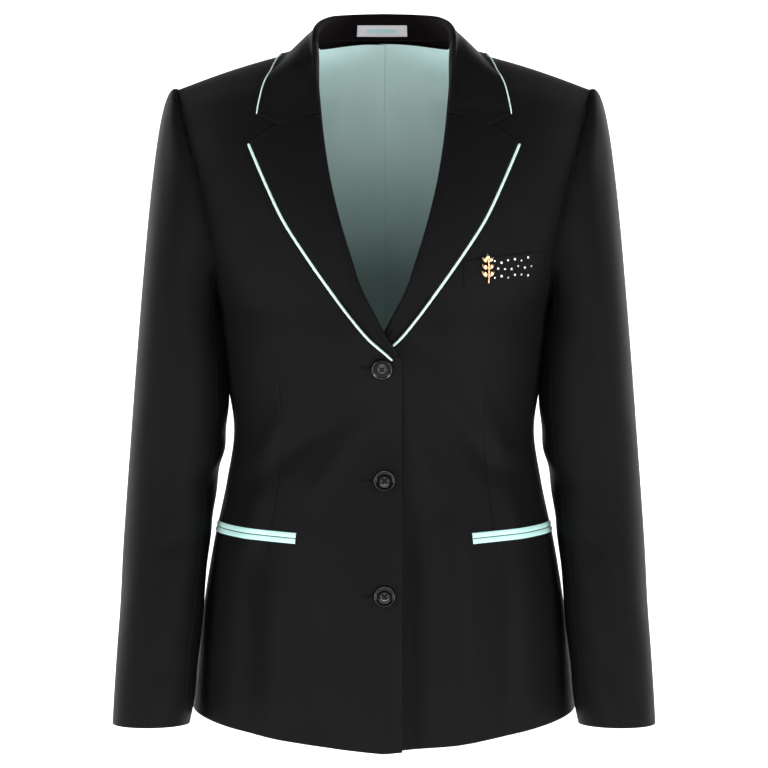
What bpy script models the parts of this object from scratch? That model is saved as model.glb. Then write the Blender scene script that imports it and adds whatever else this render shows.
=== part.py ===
"""School blazer, filled out with no wearer: a hollow three button jacket.

Metres, +Z up. The origin is where the wearer's shoulders carry the jacket: midway between the two
shoulder seams, at the height where the collar crosses them. The front faces -Y, and the wearer's
left is at +X. The tables are in millimetres and describe the wearer's left half, which is mirrored.
"""
import math

import bpy
import numpy as np
from mathutils import Vector
from mathutils.bvhtree import BVHTree

MM = 0.001

# Walls and clearances, in millimetres
SHELL = 1.8          # suiting with its canvas
LINING = 1.0         # satin lining
FOLDED = 1.8         # lapel and collar
SEAM = 0.4           # each panel stops this far from a seam that turns
FLAT_SEAM = 0.45     # each panel stops this far from a seam that lies flat
SHOULDER_SEAM = 1.05
SLEEVE_SEAM = 0.6
ARMHOLE_SEAM = 0.7
LAID_ON = 0.45       # air under a piece that lies on a panel

# Panel grids: cells across, and cells up to the break of the lapel, the underarm and the shoulder
FRONT_ACROSS = 11
BACK_ACROSS = 9
CELLS_TO_BREAK = 10
CELLS_TO_UNDERARM = 2
CELLS_ABOVE = 10
CAP_ROWS = 8
TUBE_ROWS = 12
LAPEL_ROWS = 14
COLLAR_STATIONS = 16

# Body sections from the hem up. Each row runs from the side seam or armhole round to the centre;
# the corner is where the tangents of its two ends meet.
ROW_COLUMNS = ("at", "side_x", "side_y", "side_z", "corner_x", "corner_y", "corner_z",
               "centre_x", "centre_y", "centre_z")
FRONT_ROWS = (
    (0.000, 179.5, 0, -609.5, 178, -126, -625, 0, -127, -641),    # hem
    (0.085, 174.5, 0, -560, 173, -124, -569, 0, -125, -574),    # low hip
    (0.180, 167.0, 0, -500, 165, -120, -505, 0, -121, -508),    # hip
    (0.255, 159.5, 0, -455, 156, -115, -458, 0, -116, -460),    # pocket
    (0.345, 147.5, 0, -398, 144, -107, -399, 0, -108, -400),    # high hip
    (0.420, 141.0, 0, -351, 138, -103, -351, 0, -104, -352),    # waist
    (0.490, 146.5, 0, -309, 143, -112, -309, 0, -113, -309),    # under bust
    (0.565, 152.5, 0, -262, 150, -126, -264, 0, -125, -266),    # bust
    (0.605, 156.0, 0, -237, 153, -127, -238, 0, -124, -240),    # underarm
    (0.650, 154.0, -30, -222, 150, -126, -214, 0, -120, -212),
    (0.700, 156.0, -50, -195, 144, -120, -184, 0, -112, -180),
    (0.750, 161.0, -55, -165, 143, -111, -152, 0, -101, -147),
    (0.800, 167.5, -51, -135, 143, -99, -121, 0, -88, -116),    # armhole notch
    (0.850, 176.0, -42, -103, 142, -84, -89, 0, -73, -87),
    (0.910, 186.0, -25, -69, 132, -62, -54, 0, -58, -62),
    (0.955, 191.5, -11, -45, 112, -42, -20, 0, -48, -44),       # yoke
)
BACK_ROWS = (
    (0.000, 179.5, 0, -609.5, 178, 118, -611, 0, 120, -620),
    (0.085, 174.5, 0, -560, 173, 120, -562, 0, 123, -566),
    (0.180, 167.0, 0, -500, 165, 119, -500, 0, 122, -502),
    (0.255, 159.5, 0, -455, 156, 112, -455, 0, 114, -455),
    (0.345, 147.5, 0, -398, 144, 99, -398, 0, 99, -398),
    (0.420, 141.0, 0, -351, 138, 89, -351, 0, 89, -351),
    (0.490, 146.5, 0, -309, 158, 92, -308, 0, 91, -306),
    (0.565, 152.5, 0, -262, 170, 104, -260, 0, 97, -256),
    (0.605, 156.0, 0, -237, 162, 108, -233, 0, 100, -227),
    (0.650, 157.0, 26, -222, 152, 111, -208, 0, 103, -196),
    (0.700, 161.5, 44, -195, 150, 114, -176, 0, 105, -162),
    (0.750, 167.0, 52, -165, 150, 114, -145, 0, 106, -128),
    (0.800, 173.0, 53, -135, 148, 108, -108, 0, 104, -95),
    (0.850, 181.0, 46, -103, 140, 100, -72, 0, 98, -60),
    (0.910, 188.5, 31, -69, 126, 86, -36, 0, 88, -27),
    (0.955, 192.5, 18, -45, 104, 75, -9, 0, 79, -4),
)
BREAK_AT = 0.528                   # the row at the bottom of the lapel
UNDERARM_AT = 0.605
ROUND = 0.56                       # how full a section is between its two tangents
SHOULDER_TIP = (194.0, 5.0, -32.8)
NECK_POINT = (66.0, 16.0, 9.5)
NECK_AT = 0.66                     # share of the top row that is shoulder seam
SHOULDER_SPRING = 3.0              # the shoulder seam bows up by this
FRONT_PIT = (-44.0, -26.0)         # y and z where the front neckline would meet the centre
NAPE = (68.0, 20.0)                # y and z of the back neckline at the centre
SEAM_LEVEL = 0.15                  # how steeply the panels rise into the shoulder seam

# Working steps of the search for a point seen from the front
NORMAL_STEP = 0.004                # share of the panel that its normals are taken over
SEARCH_STEP = 0.001
SEARCH_LIMIT = 0.05
SEARCH_ROUNDS = 6
SEARCH_CELLS = (60, 90)
HALVINGS = 40
PAST_CENTRE = 1.3                  # a share may run this far, past the centre
TORSO_CELLS = (40, 80)
JET_SEARCH = 400

# Line that the lapel rolls on, and its piping: height, distance from the centre
ROLL_LINE = ((-640, -16.6), (-286, -16.6), (-269, -3.0), (-244, 11.0), (-230, 18.5), (-196, 30.5),
             (-165, 40.0), (-128, 49.0), (-86, 56.0), (-46, 60.4), (-8, 63.5), (20, 66.5))
# How far inside the fold the front panel stops, by height
ROLL_CLEARS = ((-284.6, 0.0), (-284.5, 4.7), (-255, 4.4), (-225, 1.7), (-75, 1.7), (-45, 3.7), (9, 4.0))
LAPEL_EDGE = ((-292, -12.0), (-286, -6.7), (-269, 13.0), (-251, 28.6), (-233, 42.2), (-196, 68.5),
              (-160, 91.5), (-124, 108.7), (-88, 124.4))
LAPEL_TOP = -61.0                  # height of the gorge seam on the roll line
LAPEL_POINT = -88.4                # height of the lapel's point
ROLL_END = -281.5                  # height where the lapel's fold ends
LAPEL_END = -286.5                 # height where its edge ends
UNDER_LAPEL_SHARE = 0.95           # the lapel underneath stops short, under the other front
NOTCH_SHARE = 0.62                 # where along the gorge the notch opens
NOTCH_RISE = 6.5                   # the gorge runs higher than a straight line there
NOTCH_FADE = 0.12

# Fold at the roll line and the cloth that turns over it: distance from the fold, height
TURN = ((4.8, -5.2), (2.0, -5.0), (-0.4, -3.6), (-1.5, -1.0), (-1.6, 1.2), (-0.4, 3.4), (3.0, 4.5))
FALL_SHARES = (0.32, 0.66, 1.0)
FALL_HEIGHTS = (4.2, 3.0, 2.3)
LOW_TURN = 0.62                    # the roll is flatter by this at the top button
LOW_TURN_FROM = 0.45               # shares of the lapel's length where it starts to be, and is
LOW_TURN_AT = 0.95
NARROW_LAPEL = 12.0                # the fold is scaled down where the lapel is narrower than this

# The fronts lap: the one underneath lies this far in, more where its lapel is covered
LAP_INSET = 3.6
LAP_AT_BREAK = 9.6
LAP_FADE_FROM = 20.0
LAP_FADE_TO = 85.0
BREAK_Z = -268.0                   # height where the covered lapel is thickest
BREAK_SPREAD = 55.0
LAP_TOP = -70.0                    # the inset starts here and is full this far below
LAP_GROWS = 120.0
FOLD_ENDS = 0.3                    # a soft fold fades over this share of its length
HEM_Z = -600.0                     # one that ends below this runs off the hem
HEM_FOLD = 0.35

# Soft drag folds: where each starts and ends (x, z), how wide, how high
RIGHT_FRONT_FOLDS = (
    (-4, -300, 128, -372, 20, 2.2),
    (6, -318, 112, -420, 18, -2.0),
    (40, -262, 118, -300, 34, 2.6),
    (30, -420, 96, -640, 22, -2.4),
    (70, -430, 128, -640, 24, 2.2),
)
LEFT_FRONT_FOLDS = (
    (10, -305, 126, -352, 20, 2.0),
    (14, -330, 112, -408, 18, -2.2),
    (42, -262, 118, -302, 34, 2.4),
    (22, -440, 30, -660, 14, -2.8),
    (60, -430, 78, -660, 20, 2.6),
    (104, -420, 124, -640, 20, -2.4),
)
BACK_FOLDS = (
    (16, -330, 130, -300, 22, 2.0),
    (12, -372, 126, -392, 20, 1.8),
    (46, -430, 62, -640, 22, -2.4),
    (96, -430, 112, -640, 24, 2.4),
    (60, -120, 150, -190, 30, -1.8),
)

# Sleeve rings from the cuff up
RING_COLUMNS = ("z", "x", "y", "half_width", "half_depth")
SLEEVE_RINGS = (
    (-622, 215.4, -44, 35.7, 44.0),
    (-600, 212.8, -42, 37.3, 44.5),
    (-570, 210.8, -38, 37.8, 45.5),
    (-530, 207.7, -31, 39.2, 47.5),
    (-474, 204.9, -17, 39.9, 50.0),
    (-436, 201.4, -7, 41.4, 51.5),
    (-398, 198.0, -1, 42.6, 52.5),
    (-361, 194.2, 0, 43.7, 53.5),
    (-323, 191.6, -1, 43.5, 55.5),
    (-290, 191.2, -2, 41.4, 57.0),
    (-262, 191.8, -2, 38.6, 58.0),
)
FRONT_SLEEVE_SEAM = 144            # degrees from the outside of the arm, round by the front
BACK_SLEEVE_SEAM = 252
TOP_SLEEVE_CELLS = 14
UNDER_SLEEVE_CELLS = 6
CAP_REACH = 18.5                   # the sleeve head stands out this far before it turns down
UNDERARM_REACH = 6.0
CAP_OUTWARD = 0.85
CAP_RISE = 0.55
CAP_FORWARD = 0.50
CAP_START = 0.42                   # share of its height that the cap keeps the tube's slope for,
CAP_START_OUTER = 0.32             # and more on the outside of the arm
RING_STEP = 4.0
SLEEVE_RADIUS = 45.0
FOLD_LEAN = 0.35                   # how a sleeve's crease leans round the arm, mm for each degree
SLEEVE_FOLDS = (                   # angle, height, width in degrees, width in millimetres, depth
    (150, -402, 34, 13, -2.2),
    (165, -372, 30, 12, 1.8),
    (215, -418, 36, 14, -2.0),
    (120, -560, 34, 16, -1.8),
    (60, -330, 30, 26, 1.4),
)

# Collar stations from the centre back to the notch: neck seam, top of the fold, outer edge, and
# how far the station already lies on the front as the lapel does
COLLAR_COLUMNS = ("at", "neck_x", "neck_y", "neck_z", "fold_x", "fold_y", "fold_z",
                  "edge_x", "edge_y", "edge_z", "on_front")
COLLAR_ROWS = (
    (0.00, 0.0, 66.0, 21.3, 0.0, 71.5, 48.6, 0.0, 84.0, 0.0, 0.0),
    (0.20, 34.0, 58.5, 20.8, 33.6, 64.5, 46.8, 46.0, 78.0, -0.5, 0.0),
    (0.38, 56.0, 41.0, 18.5, 53.2, 45.5, 42.2, 80.0, 52.0, -1.0, 0.0),
    (0.52, 65.5, 20.0, 13.5, 62.2, 21.0, 33.5, 92.0, 18.5, 2.4, 0.0),
    (0.64, 61.0, 1.0, 4.0, 65.2, -4.0, 21.5, 102.8, -10.5, -11.6, 0.08),
    (0.76, 60.5, -19.0, -14.0, 63.4, -26.0, -2.0, 110.0, -38.0, -27.0, 0.6),
    (0.88, 65.0, -40.0, -32.0, 61.2, -46.0, -34.0, 114.0, -60.0, -45.0, 1.0),
    (1.00, 63.0, -55.0, -58.0, 59.0, -58.0, -60.2, 116.5, -72.0, -60.6, 1.0),
)
COLLAR_LINES = (("neck_x", "neck_y", "neck_z"), ("fold_x", "fold_y", "fold_z"),
                ("edge_x", "edge_y", "edge_z"), ("on_front",))
FOLD_HALF_WIDTH = 3.4
FOLD_ROUND = (0.71, 0.29)          # a point of the fold's round, out and down from its top
COLLAR_LOW = -4.0                  # below this height it lies on the front as the lapel does
COLLAR_UNDER = 1.35                # how much deeper than the lapel it turns under
COLLAR_AIR = 2.2                   # under the fall, where the shoulder turns beneath it
GORGE_DIP = 10.5                   # the gorge dips below a straight line at the notch
GORGE_SHARE = 0.66
GORGE_FADE = 0.10

# Piping and jets, the trim in the contrast colour
LAPEL_PIPING = 1.3                 # radius
COLLAR_PIPING = 0.85
PIPING_AIR = 0.35                  # between the piping and the edge it is sewn to
PIPING_SIDES = 2                   # bevel resolution
POCKET_FRONT_X = 80.0
POCKET_FRONT_Z = -448.5
POCKET_SIDE_Z = -440.5
POCKET_SIDE_SHARE = 0.055          # how close to the side seam the pocket starts
JET_HEIGHT = 4.7
JET_PARTING = 0.7
JET_THICK = 1.2
JET_CELLS = 9

# Chest welt and the pin on it
WELT_INNER = (72.0, -209.5)        # x and z of the middle of its inner end
WELT_OUTER = (147.0, -199.0)
WELT_HEIGHT = 25.0
WELT_THICK = 1.4
WELT_STANDS = 1.1                  # its face above the curve of the chest, between whose cells it lies
WELT_CELLS = (7, 2)
PIN_CENTRE = (93.0, -205.5)
PIN_LEAF = 7.6                     # length of a leaf of the pin
# Outline of a leaf from its foot round its tip: share of its length, distance from its middle
PIN_LEAF_SHAPE = ((0.0, -0.9), (0.30, -2.0), (0.62, -2.0), (1.0, 0.0), (0.62, 2.0), (0.30, 2.0),
                  (0.0, 0.9))
PIN_PAIRS = 3
PIN_LEAN = 42.0                    # degrees that a leaf rises from the level
PIN_STEM_HALF = 0.9
PIN_FOOT = 0.9                     # the lowest pair starts this many spacings up the stem
PIN_SPACINGS = 3.6                 # and the stem is this many spacings long
PIN_THICK = 1.3
PIN_STEM = 24.0
PIN_STANDS = 2.9                   # back of the pin above the front

# Buttons
BUTTON_PLACES = ((-1.8, -294.0, 1.2), (0.4, -396.3, 0.5), (0.5, -500.0, 0.5))    # x, z, air behind
# Profile of a button from the middle of its face round the rim to its back: radius, height
BUTTON_PROFILE = ((0.0, 2.2), (6.8, 2.3), (8.0, 3.2), (9.0, 3.4), (9.6, 2.9), (10.0, 2.1), (9.5, 0.6),
                  (8.4, 0.0), (0.0, 0.0))
BUTTON_HOLE = 1.0
HOLE_SPREAD = 2.0
DRILL_LENGTH = 14.0
DRILL_SIDES = 8
BUTTON_STEPS = 24

# Label in the back of the neck
LABEL_WIDTH = 48.0
LABEL_FROM = 0.16                  # shares of the stand's height
LABEL_TO = 0.76
LABEL_THICK = 0.6
LABEL_CELLS = 6

# Lining
LINING_AIR = 1.0
LINING_AIR_TOP = 3.2               # more air where the shoulders turn
LINING_TOP_FROM = 0.8              # which starts at this place up the back and is full this far on
LINING_TOP_GROWS = 0.15
LINING_SIDE = 0.9                 # it stops short of the side seam, the hem and the neckline by
LINING_DROP = 0.45                 # these shares of the back's first and last cells
LINING_TOP = 0.2
LINING_PLEAT = 1.2                 # the right half's pleat ends this far past the centre
LINING_UNDER = -5.0                # the left half runs on under the pleat to this x
PLEAT_LIFT = 2.9
PLEAT_WIDTH = 24.0

# Red, green, blue, roughness, metallic
COLOURS = {
    "cloth": (0.0105, 0.0105, 0.0115, 0.82, 0.0),
    "lining": (0.40, 0.62, 0.56, 0.42, 0.0),
    "trim": (0.45, 0.80, 0.71, 0.48, 0.0),
    "button": (0.006, 0.006, 0.007, 0.22, 0.0),
    "gold": (0.72, 0.45, 0.24, 0.28, 1.0),
    "label": (0.70, 0.68, 0.72, 0.7, 0.0),
}


def material(name):
    """A Principled material: red, green, blue, roughness, metallic."""
    made = bpy.data.materials.get(name)
    if made is None:
        made = bpy.data.materials.new(name)
        made.use_nodes = True
        red, green, blue, rough, metal = COLOURS[name]
        shader = made.node_tree.nodes["Principled BSDF"]
        shader.inputs["Base Color"].default_value = (red, green, blue, 1.0)
        shader.inputs["Roughness"].default_value = rough
        shader.inputs["Metallic"].default_value = metal
    return made


def ease(value):
    """0 below 0, 1 above 1, smooth between."""
    value = np.clip(value, 0.0, 1.0)
    return value * value * (3.0 - 2.0 * value)


def unit(vectors):
    return vectors / np.maximum(np.linalg.norm(vectors, axis=-1, keepdims=True), 1e-12)


def columns(table, names, *wanted):
    """The wanted columns of a table, one row for each row of it."""
    return np.array(table, float)[:, [names.index(name) for name in wanted]]


def slopes_of(knots, values):
    """Slopes of the smooth curve through values at the knots."""
    steps = np.diff(knots).reshape((-1,) + (1,) * (values.ndim - 1))
    chords = np.diff(values, axis=0) / steps
    inner = (chords[:-1] * steps[1:] + chords[1:] * steps[:-1]) / (steps[1:] + steps[:-1])
    return np.concatenate([chords[:1], inner, chords[-1:]])


def place_in(knots, at):
    """The cell of the knots that each place is in, how far along it, and its width."""
    at = np.clip(at, knots[0], knots[-1])
    cell = np.clip(np.searchsorted(knots, at, side="right") - 1, 0, len(knots) - 2)
    width = knots[cell + 1] - knots[cell]
    return cell, ((at - knots[cell]) / width)[:, None], width[:, None]


def blend(t, width, low, high, low_slope, high_slope):
    """A cubic from low to high with the slopes given."""
    return ((2 * t ** 3 - 3 * t ** 2 + 1) * low + (t ** 3 - 2 * t ** 2 + t) * width * low_slope
            + (3 * t ** 2 - 2 * t ** 3) * high + (t ** 3 - t ** 2) * width * high_slope)


def read_curve(knots, values, at):
    """A table's values on a smooth curve, one row for each place in at."""
    cell, t, width = place_in(knots, np.atleast_1d(np.asarray(at, float)))
    slopes = slopes_of(knots, values)
    return blend(t, width, values[cell], values[cell + 1], slopes[cell], slopes[cell + 1])


def read_line(table, height):
    """Distance from the centre of a line given as (height, distance) rows."""
    table = np.asarray(table, float)
    return np.interp(height, table[:, 0], table[:, 1])


def ridges(x, z, folds):
    """Height of the soft folds at (x, z)."""
    total = np.zeros_like(x)
    for x0, z0, x1, z1, wide, high in folds:
        length = math.hypot(x1 - x0, z1 - z0)
        ux = (x1 - x0) / length
        uz = (z1 - z0) / length
        along = ((x - x0) * ux + (z - z0) * uz) / length
        off = (z - z0) * ux - (x - x0) * uz
        fade = ease(along / FOLD_ENDS) * ease((1.0 - along) / FOLD_ENDS + HEM_FOLD * (z1 < HEM_Z))
        total += high * np.exp(-(off / wide) ** 2) * fade
    return total


def lap_inset(x, z):
    """How far the front underneath lies in, near the centre."""
    near_break = np.exp(-((z - BREAK_Z) / BREAK_SPREAD) ** 2)
    depth = LAP_INSET + (LAP_AT_BREAK - LAP_INSET) * near_break
    fade = 1.0 - ease((x - LAP_FADE_FROM) / (LAP_FADE_TO - LAP_FADE_FROM))
    return depth * fade * ease((LAP_TOP - z) / LAP_GROWS)


PANELS = {
    "front_right": {"rows": FRONT_ROWS, "neck": FRONT_PIT, "folds": RIGHT_FRONT_FOLDS, "facing": -1,
                    "under": False},
    "front_left": {"rows": FRONT_ROWS, "neck": FRONT_PIT, "folds": LEFT_FRONT_FOLDS, "facing": -1,
                   "under": True},
    "back": {"rows": BACK_ROWS, "neck": NAPE, "folds": BACK_FOLDS, "facing": 1, "under": False},
}


def top_row(share, neck):
    """Shoulder seam, then the neckline to the centre."""
    tip = np.array(SHOULDER_TIP)
    point = np.array(NECK_POINT)
    along = np.clip(share / NECK_AT, 0.0, 1.0)[:, None]
    seam = tip + (point - tip) * along
    seam[:, 2] += SHOULDER_SPRING * np.sin(math.pi * along[:, 0])
    turn = np.clip((share - NECK_AT) / (1.0 - NECK_AT), 0.0, 1.0) * math.pi / 2
    neck_y, neck_z = neck
    line = np.stack([point[0] * np.cos(turn), point[1] + (neck_y - point[1]) * np.sin(turn),
                     point[2] + (neck_z - point[2]) * np.sin(turn) ** 2], axis=1)
    return np.where(share[:, None] <= NECK_AT, seam, line)


def body(panel, share, at):
    """Points of a panel's outer face: share 0 at the side to 1 at the centre, at 0 hem to 1 top."""
    piece = PANELS[panel]
    share = np.atleast_1d(np.asarray(share, float))
    at = np.atleast_1d(np.asarray(at, float))
    share, at = np.broadcast_arrays(share, at)
    past = share > 1.0
    s = np.where(past, 2.0 - share, share)
    side = columns(piece["rows"], ROW_COLUMNS, "side_x", "side_y", "side_z")[:, None]
    corner = columns(piece["rows"], ROW_COLUMNS, "corner_x", "corner_y", "corner_z")[:, None]
    centre = columns(piece["rows"], ROW_COLUMNS, "centre_x", "centre_y", "centre_z")[:, None]
    near = side + (corner - side) * ROUND
    far = centre + (corner - centre) * ROUND
    t = s[None, :, None]
    rows = side * (1 - t) ** 3 + 3 * near * t * (1 - t) ** 2 + 3 * far * t ** 2 * (1 - t) + centre * t ** 3
    rows = np.concatenate([rows, top_row(s, piece["neck"])[None]])
    knots = np.append(columns(piece["rows"], ROW_COLUMNS, "at")[:, 0], 1.0)
    slopes = slopes_of(knots, rows)
    slopes[-1, :, 2] *= SEAM_LEVEL + (1.0 - SEAM_LEVEL) * ease((s - NECK_AT) / (1.0 - NECK_AT))
    cell, t, width = place_in(knots, at)
    each = np.arange(len(s))
    points = blend(t, width, rows[cell, each], rows[cell + 1, each], slopes[cell, each],
                   slopes[cell + 1, each])
    points[:, 0] = np.where(past, -points[:, 0], points[:, 0])
    swell = ridges(points[:, 0], points[:, 2], piece["folds"]) * ease(s / 0.2)
    points[:, 1] += piece["facing"] * swell
    if piece["under"]:
        points[:, 1] += lap_inset(points[:, 0], points[:, 2])
    return points


def outward(panel, share, at):
    """Unit normals of a panel's outer face."""
    small = NORMAL_STEP
    low = np.clip(at - small, 0.0, 1.0 - 2 * small)
    across = body(panel, share + small, at) - body(panel, np.maximum(share - small, 0.0), at)
    up = body(panel, share, low + 2 * small) - body(panel, share, low)
    return unit(np.cross(across, up)) * PANELS[panel]["facing"]


def find(panel, x, z):
    """Where on a panel the point seen at (x, z) lies: its share and its place up the panel."""
    x = np.atleast_1d(np.asarray(x, float))
    z = np.atleast_1d(np.asarray(z, float))
    shares, ats = np.meshgrid(np.linspace(0.0, PAST_CENTRE, SEARCH_CELLS[0]),
                              np.linspace(0.0, 1.0, SEARCH_CELLS[1]))
    known = body(panel, shares.ravel(), ats.ravel())
    apart = (known[:, 0][None] - x[:, None]) ** 2 + (known[:, 2][None] - z[:, None]) ** 2
    nearest = np.argmin(apart, axis=1)
    share = shares.ravel()[nearest]
    at = ats.ravel()[nearest]
    small = SEARCH_STEP
    for _ in range(SEARCH_ROUNDS):
        here = body(panel, share, at)
        by_share = (body(panel, share + small, at) - here) / small
        step = np.where(at > 0.99, -small, small)
        by_at = (body(panel, share, at + step) - here) / step[:, None]
        miss_x = x - here[:, 0]
        miss_z = z - here[:, 2]
        area = by_share[:, 0] * by_at[:, 2] - by_at[:, 0] * by_share[:, 2]
        area = np.where(np.abs(area) < 1e-6, 1e-6, area)
        share_step = (miss_x * by_at[:, 2] - by_at[:, 0] * miss_z) / area
        at_step = (by_share[:, 0] * miss_z - by_share[:, 2] * miss_x) / area
        share = np.clip(share + np.clip(share_step, -SEARCH_LIMIT, SEARCH_LIMIT), 0.0, PAST_CENTRE)
        at = np.clip(at + np.clip(at_step, -SEARCH_LIMIT, SEARCH_LIMIT), 0.0, 1.0)
    return share, at


def on_front(panel, x, z, height):
    """Points seen at (x, z) on a panel, moved out by height."""
    share, at = find(panel, x, z)
    return body(panel, share, at) + outward(panel, share, at) * np.reshape(height, (-1, 1))


def up_the_panel():
    """Places of the grid rows, the same for front and back so that their seams match."""
    low = np.linspace(0.0, BREAK_AT, CELLS_TO_BREAK + 1)
    middle = np.linspace(BREAK_AT, UNDERARM_AT, CELLS_TO_UNDERARM + 1)
    above = np.linspace(UNDERARM_AT, 1.0, CELLS_ABOVE + 1)
    return np.concatenate([low, middle[1:], above[1:]])


def share_at(panel, at, limit):
    """Share at which each row reaches the line limit(height)."""
    low = np.zeros_like(at)
    high = np.full_like(at, PAST_CENTRE)
    for _ in range(HALVINGS):
        middle = (low + high) / 2
        here = body(panel, middle, at)
        outside = here[:, 0] > limit(here[:, 2])
        low = np.where(outside, middle, low)
        high = np.where(outside, high, middle)
    return (low + high) / 2


def clear_torso():
    """The body's surface as a tree, on both sides, for pieces that lie on it."""
    points = []
    faces = []
    across, tall = TORSO_CELLS
    for panel in ("front_right", "back"):
        for sign in (1, -1):
            shares, ats = np.meshgrid(np.linspace(0.0, 1.0, across + 1), np.linspace(0.0, 1.0, tall + 1))
            grid = body(panel, shares.ravel(), ats.ravel()) * np.array([sign, 1, 1])
            first = len(points)
            points.extend(map(tuple, grid))
            turned = (sign * PANELS[panel]["facing"]) > 0
            for j in range(tall):
                for i in range(across):
                    a = first + j * (across + 1) + i
                    quad = (a, a + across + 1, a + across + 2, a + 1)
                    faces.append(quad[::-1] if turned else quad)
    return BVHTree.FromPolygons(points, faces)


def rest_on(tree, points, clearance):
    """Moves out the points that are nearer to the body than clearance."""
    moved = []
    for point in points:
        place, normal, _, _ = tree.find_nearest(Vector(point))
        gap = (Vector(point) - place).dot(normal)
        moved.append(tuple(place + normal * clearance) if gap < clearance else tuple(point))
    return np.array(moved)


def sheet(name, grid, thick, look, flip=False):
    """A cloth wall: the grid is its outer face and the wall goes in."""
    rows, columns = grid.shape[:2]
    mesh = bpy.data.meshes.new(name)
    faces = []
    for j in range(rows - 1):
        for i in range(columns - 1):
            a = j * columns + i
            quad = (a, a + 1, a + columns + 1, a + columns)
            faces.append(quad[::-1] if flip else quad)
    mesh.from_pydata((grid.reshape(-1, 3) * MM).tolist(), [], faces)
    mesh.update()
    mesh.shade_smooth()
    piece = bpy.data.objects.new(name, mesh)
    mesh.materials.append(material(look))
    blazer.objects.link(piece)
    wall = piece.modifiers.new("Wall", "SOLIDIFY")
    wall.thickness = thick * MM
    wall.offset = -1.0
    wall.use_even_offset = False
    return piece


def mirrored(grid, sign):
    return grid * np.array([sign, 1.0, 1.0])


def front_panel(panel, sign):
    """One front, from its side seam to its edge or roll line."""
    ats = up_the_panel()

    def limit(height):
        return read_line(ROLL_LINE, height) + read_line(ROLL_CLEARS, height)

    ends = share_at(panel, ats, limit)
    grid = np.stack([body(panel, np.linspace(0.0, end, FRONT_ACROSS + 1), np.full(FRONT_ACROSS + 1, at))
                     for end, at in zip(ends, ats)])
    below = ats <= UNDERARM_AT
    grid[below, 0, 1] -= SEAM
    grid[-1, :, 1] -= SHOULDER_SEAM
    sheet(panel, mirrored(grid, sign), SHELL, "cloth", flip=sign > 0)


def back_panel(name, sign):
    """One half of the back, from its side seam to the centre seam."""
    ats = up_the_panel()
    shares = np.linspace(0.0, 1.0, BACK_ACROSS + 1)
    grid = np.stack([body("back", shares, np.full(BACK_ACROSS + 1, at)) for at in ats])
    below = ats <= UNDERARM_AT
    grid[below, 0, 1] += SEAM
    grid[-1, shares <= NECK_AT, 1] += SHOULDER_SEAM
    grid[:, -1, 0] = FLAT_SEAM
    sheet(name, mirrored(grid, sign), SHELL, "cloth", flip=sign < 0)


def lining(name, sign, inner_x, lift):
    """Half of the back lining, made from the back's own points, with its edge at inner_x."""
    ats = up_the_panel()
    ends = share_at("back", ats, lambda height: np.full_like(height, inner_x))
    rows = []
    for end, at in zip(ends, ats):
        shares = np.linspace(0.0, 1.0, BACK_ACROSS + 1)
        shares[0] = LINING_SIDE * shares[1]
        shares[-1] = end
        places = np.full(BACK_ACROSS + 1, at)
        points = body("back", shares, places)
        near_edge = ease(1.0 - (points[:, 0] - inner_x) / PLEAT_WIDTH)
        near_top = ease((at - LINING_TOP_FROM) / LINING_TOP_GROWS)
        inset = SHELL + LINING_AIR + lift * near_edge + LINING_AIR_TOP * near_top
        rows.append(points - outward("back", shares, places) * inset[:, None])
    grid = np.stack(rows)
    grid[0] += (grid[1] - grid[0]) * LINING_DROP
    grid[-1] += (grid[-2] - grid[-1]) * LINING_TOP
    sheet(name, mirrored(grid, sign), LINING, "lining", flip=sign < 0)


def ring(angle, height):
    """Point of the sleeve at an angle from the outside of the arm, in degrees, at a height."""
    heights = columns(SLEEVE_RINGS, RING_COLUMNS, "z")[:, 0]
    sizes = columns(SLEEVE_RINGS, RING_COLUMNS, "x", "y", "half_width", "half_depth")
    values = read_curve(heights, sizes, height)
    turn = np.radians(angle)
    points = np.stack([values[:, 0] + values[:, 2] * np.cos(turn),
                       values[:, 1] - values[:, 3] * np.sin(turn), np.asarray(height, float)], axis=1)
    out = unit(np.stack([np.cos(turn) / values[:, 2], -np.sin(turn) / values[:, 3], 0 * turn], axis=1))
    for fold_angle, fold_z, wide, tall, deep in SLEEVE_FOLDS:
        apart = (np.asarray(angle) - fold_angle + 180.0) % 360.0 - 180.0
        lean = height - fold_z - FOLD_LEAN * apart
        points += out * (deep * np.exp(-(apart / wide) ** 2 - (lean / tall) ** 2))[:, None]
    return points


def armhole(angle):
    """Point of the armhole seam that the sleeve's line at this angle runs to."""
    angle = np.asarray(angle, float) % 360.0
    up = np.abs(angle - 180.0) / 180.0
    at = UNDERARM_AT + (1.0 - UNDERARM_AT) * up
    front = body("front_right", np.zeros_like(at), at)
    back = body("back", np.zeros_like(at), at)
    return np.where((angle < 180.0)[:, None], front, back)


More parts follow.
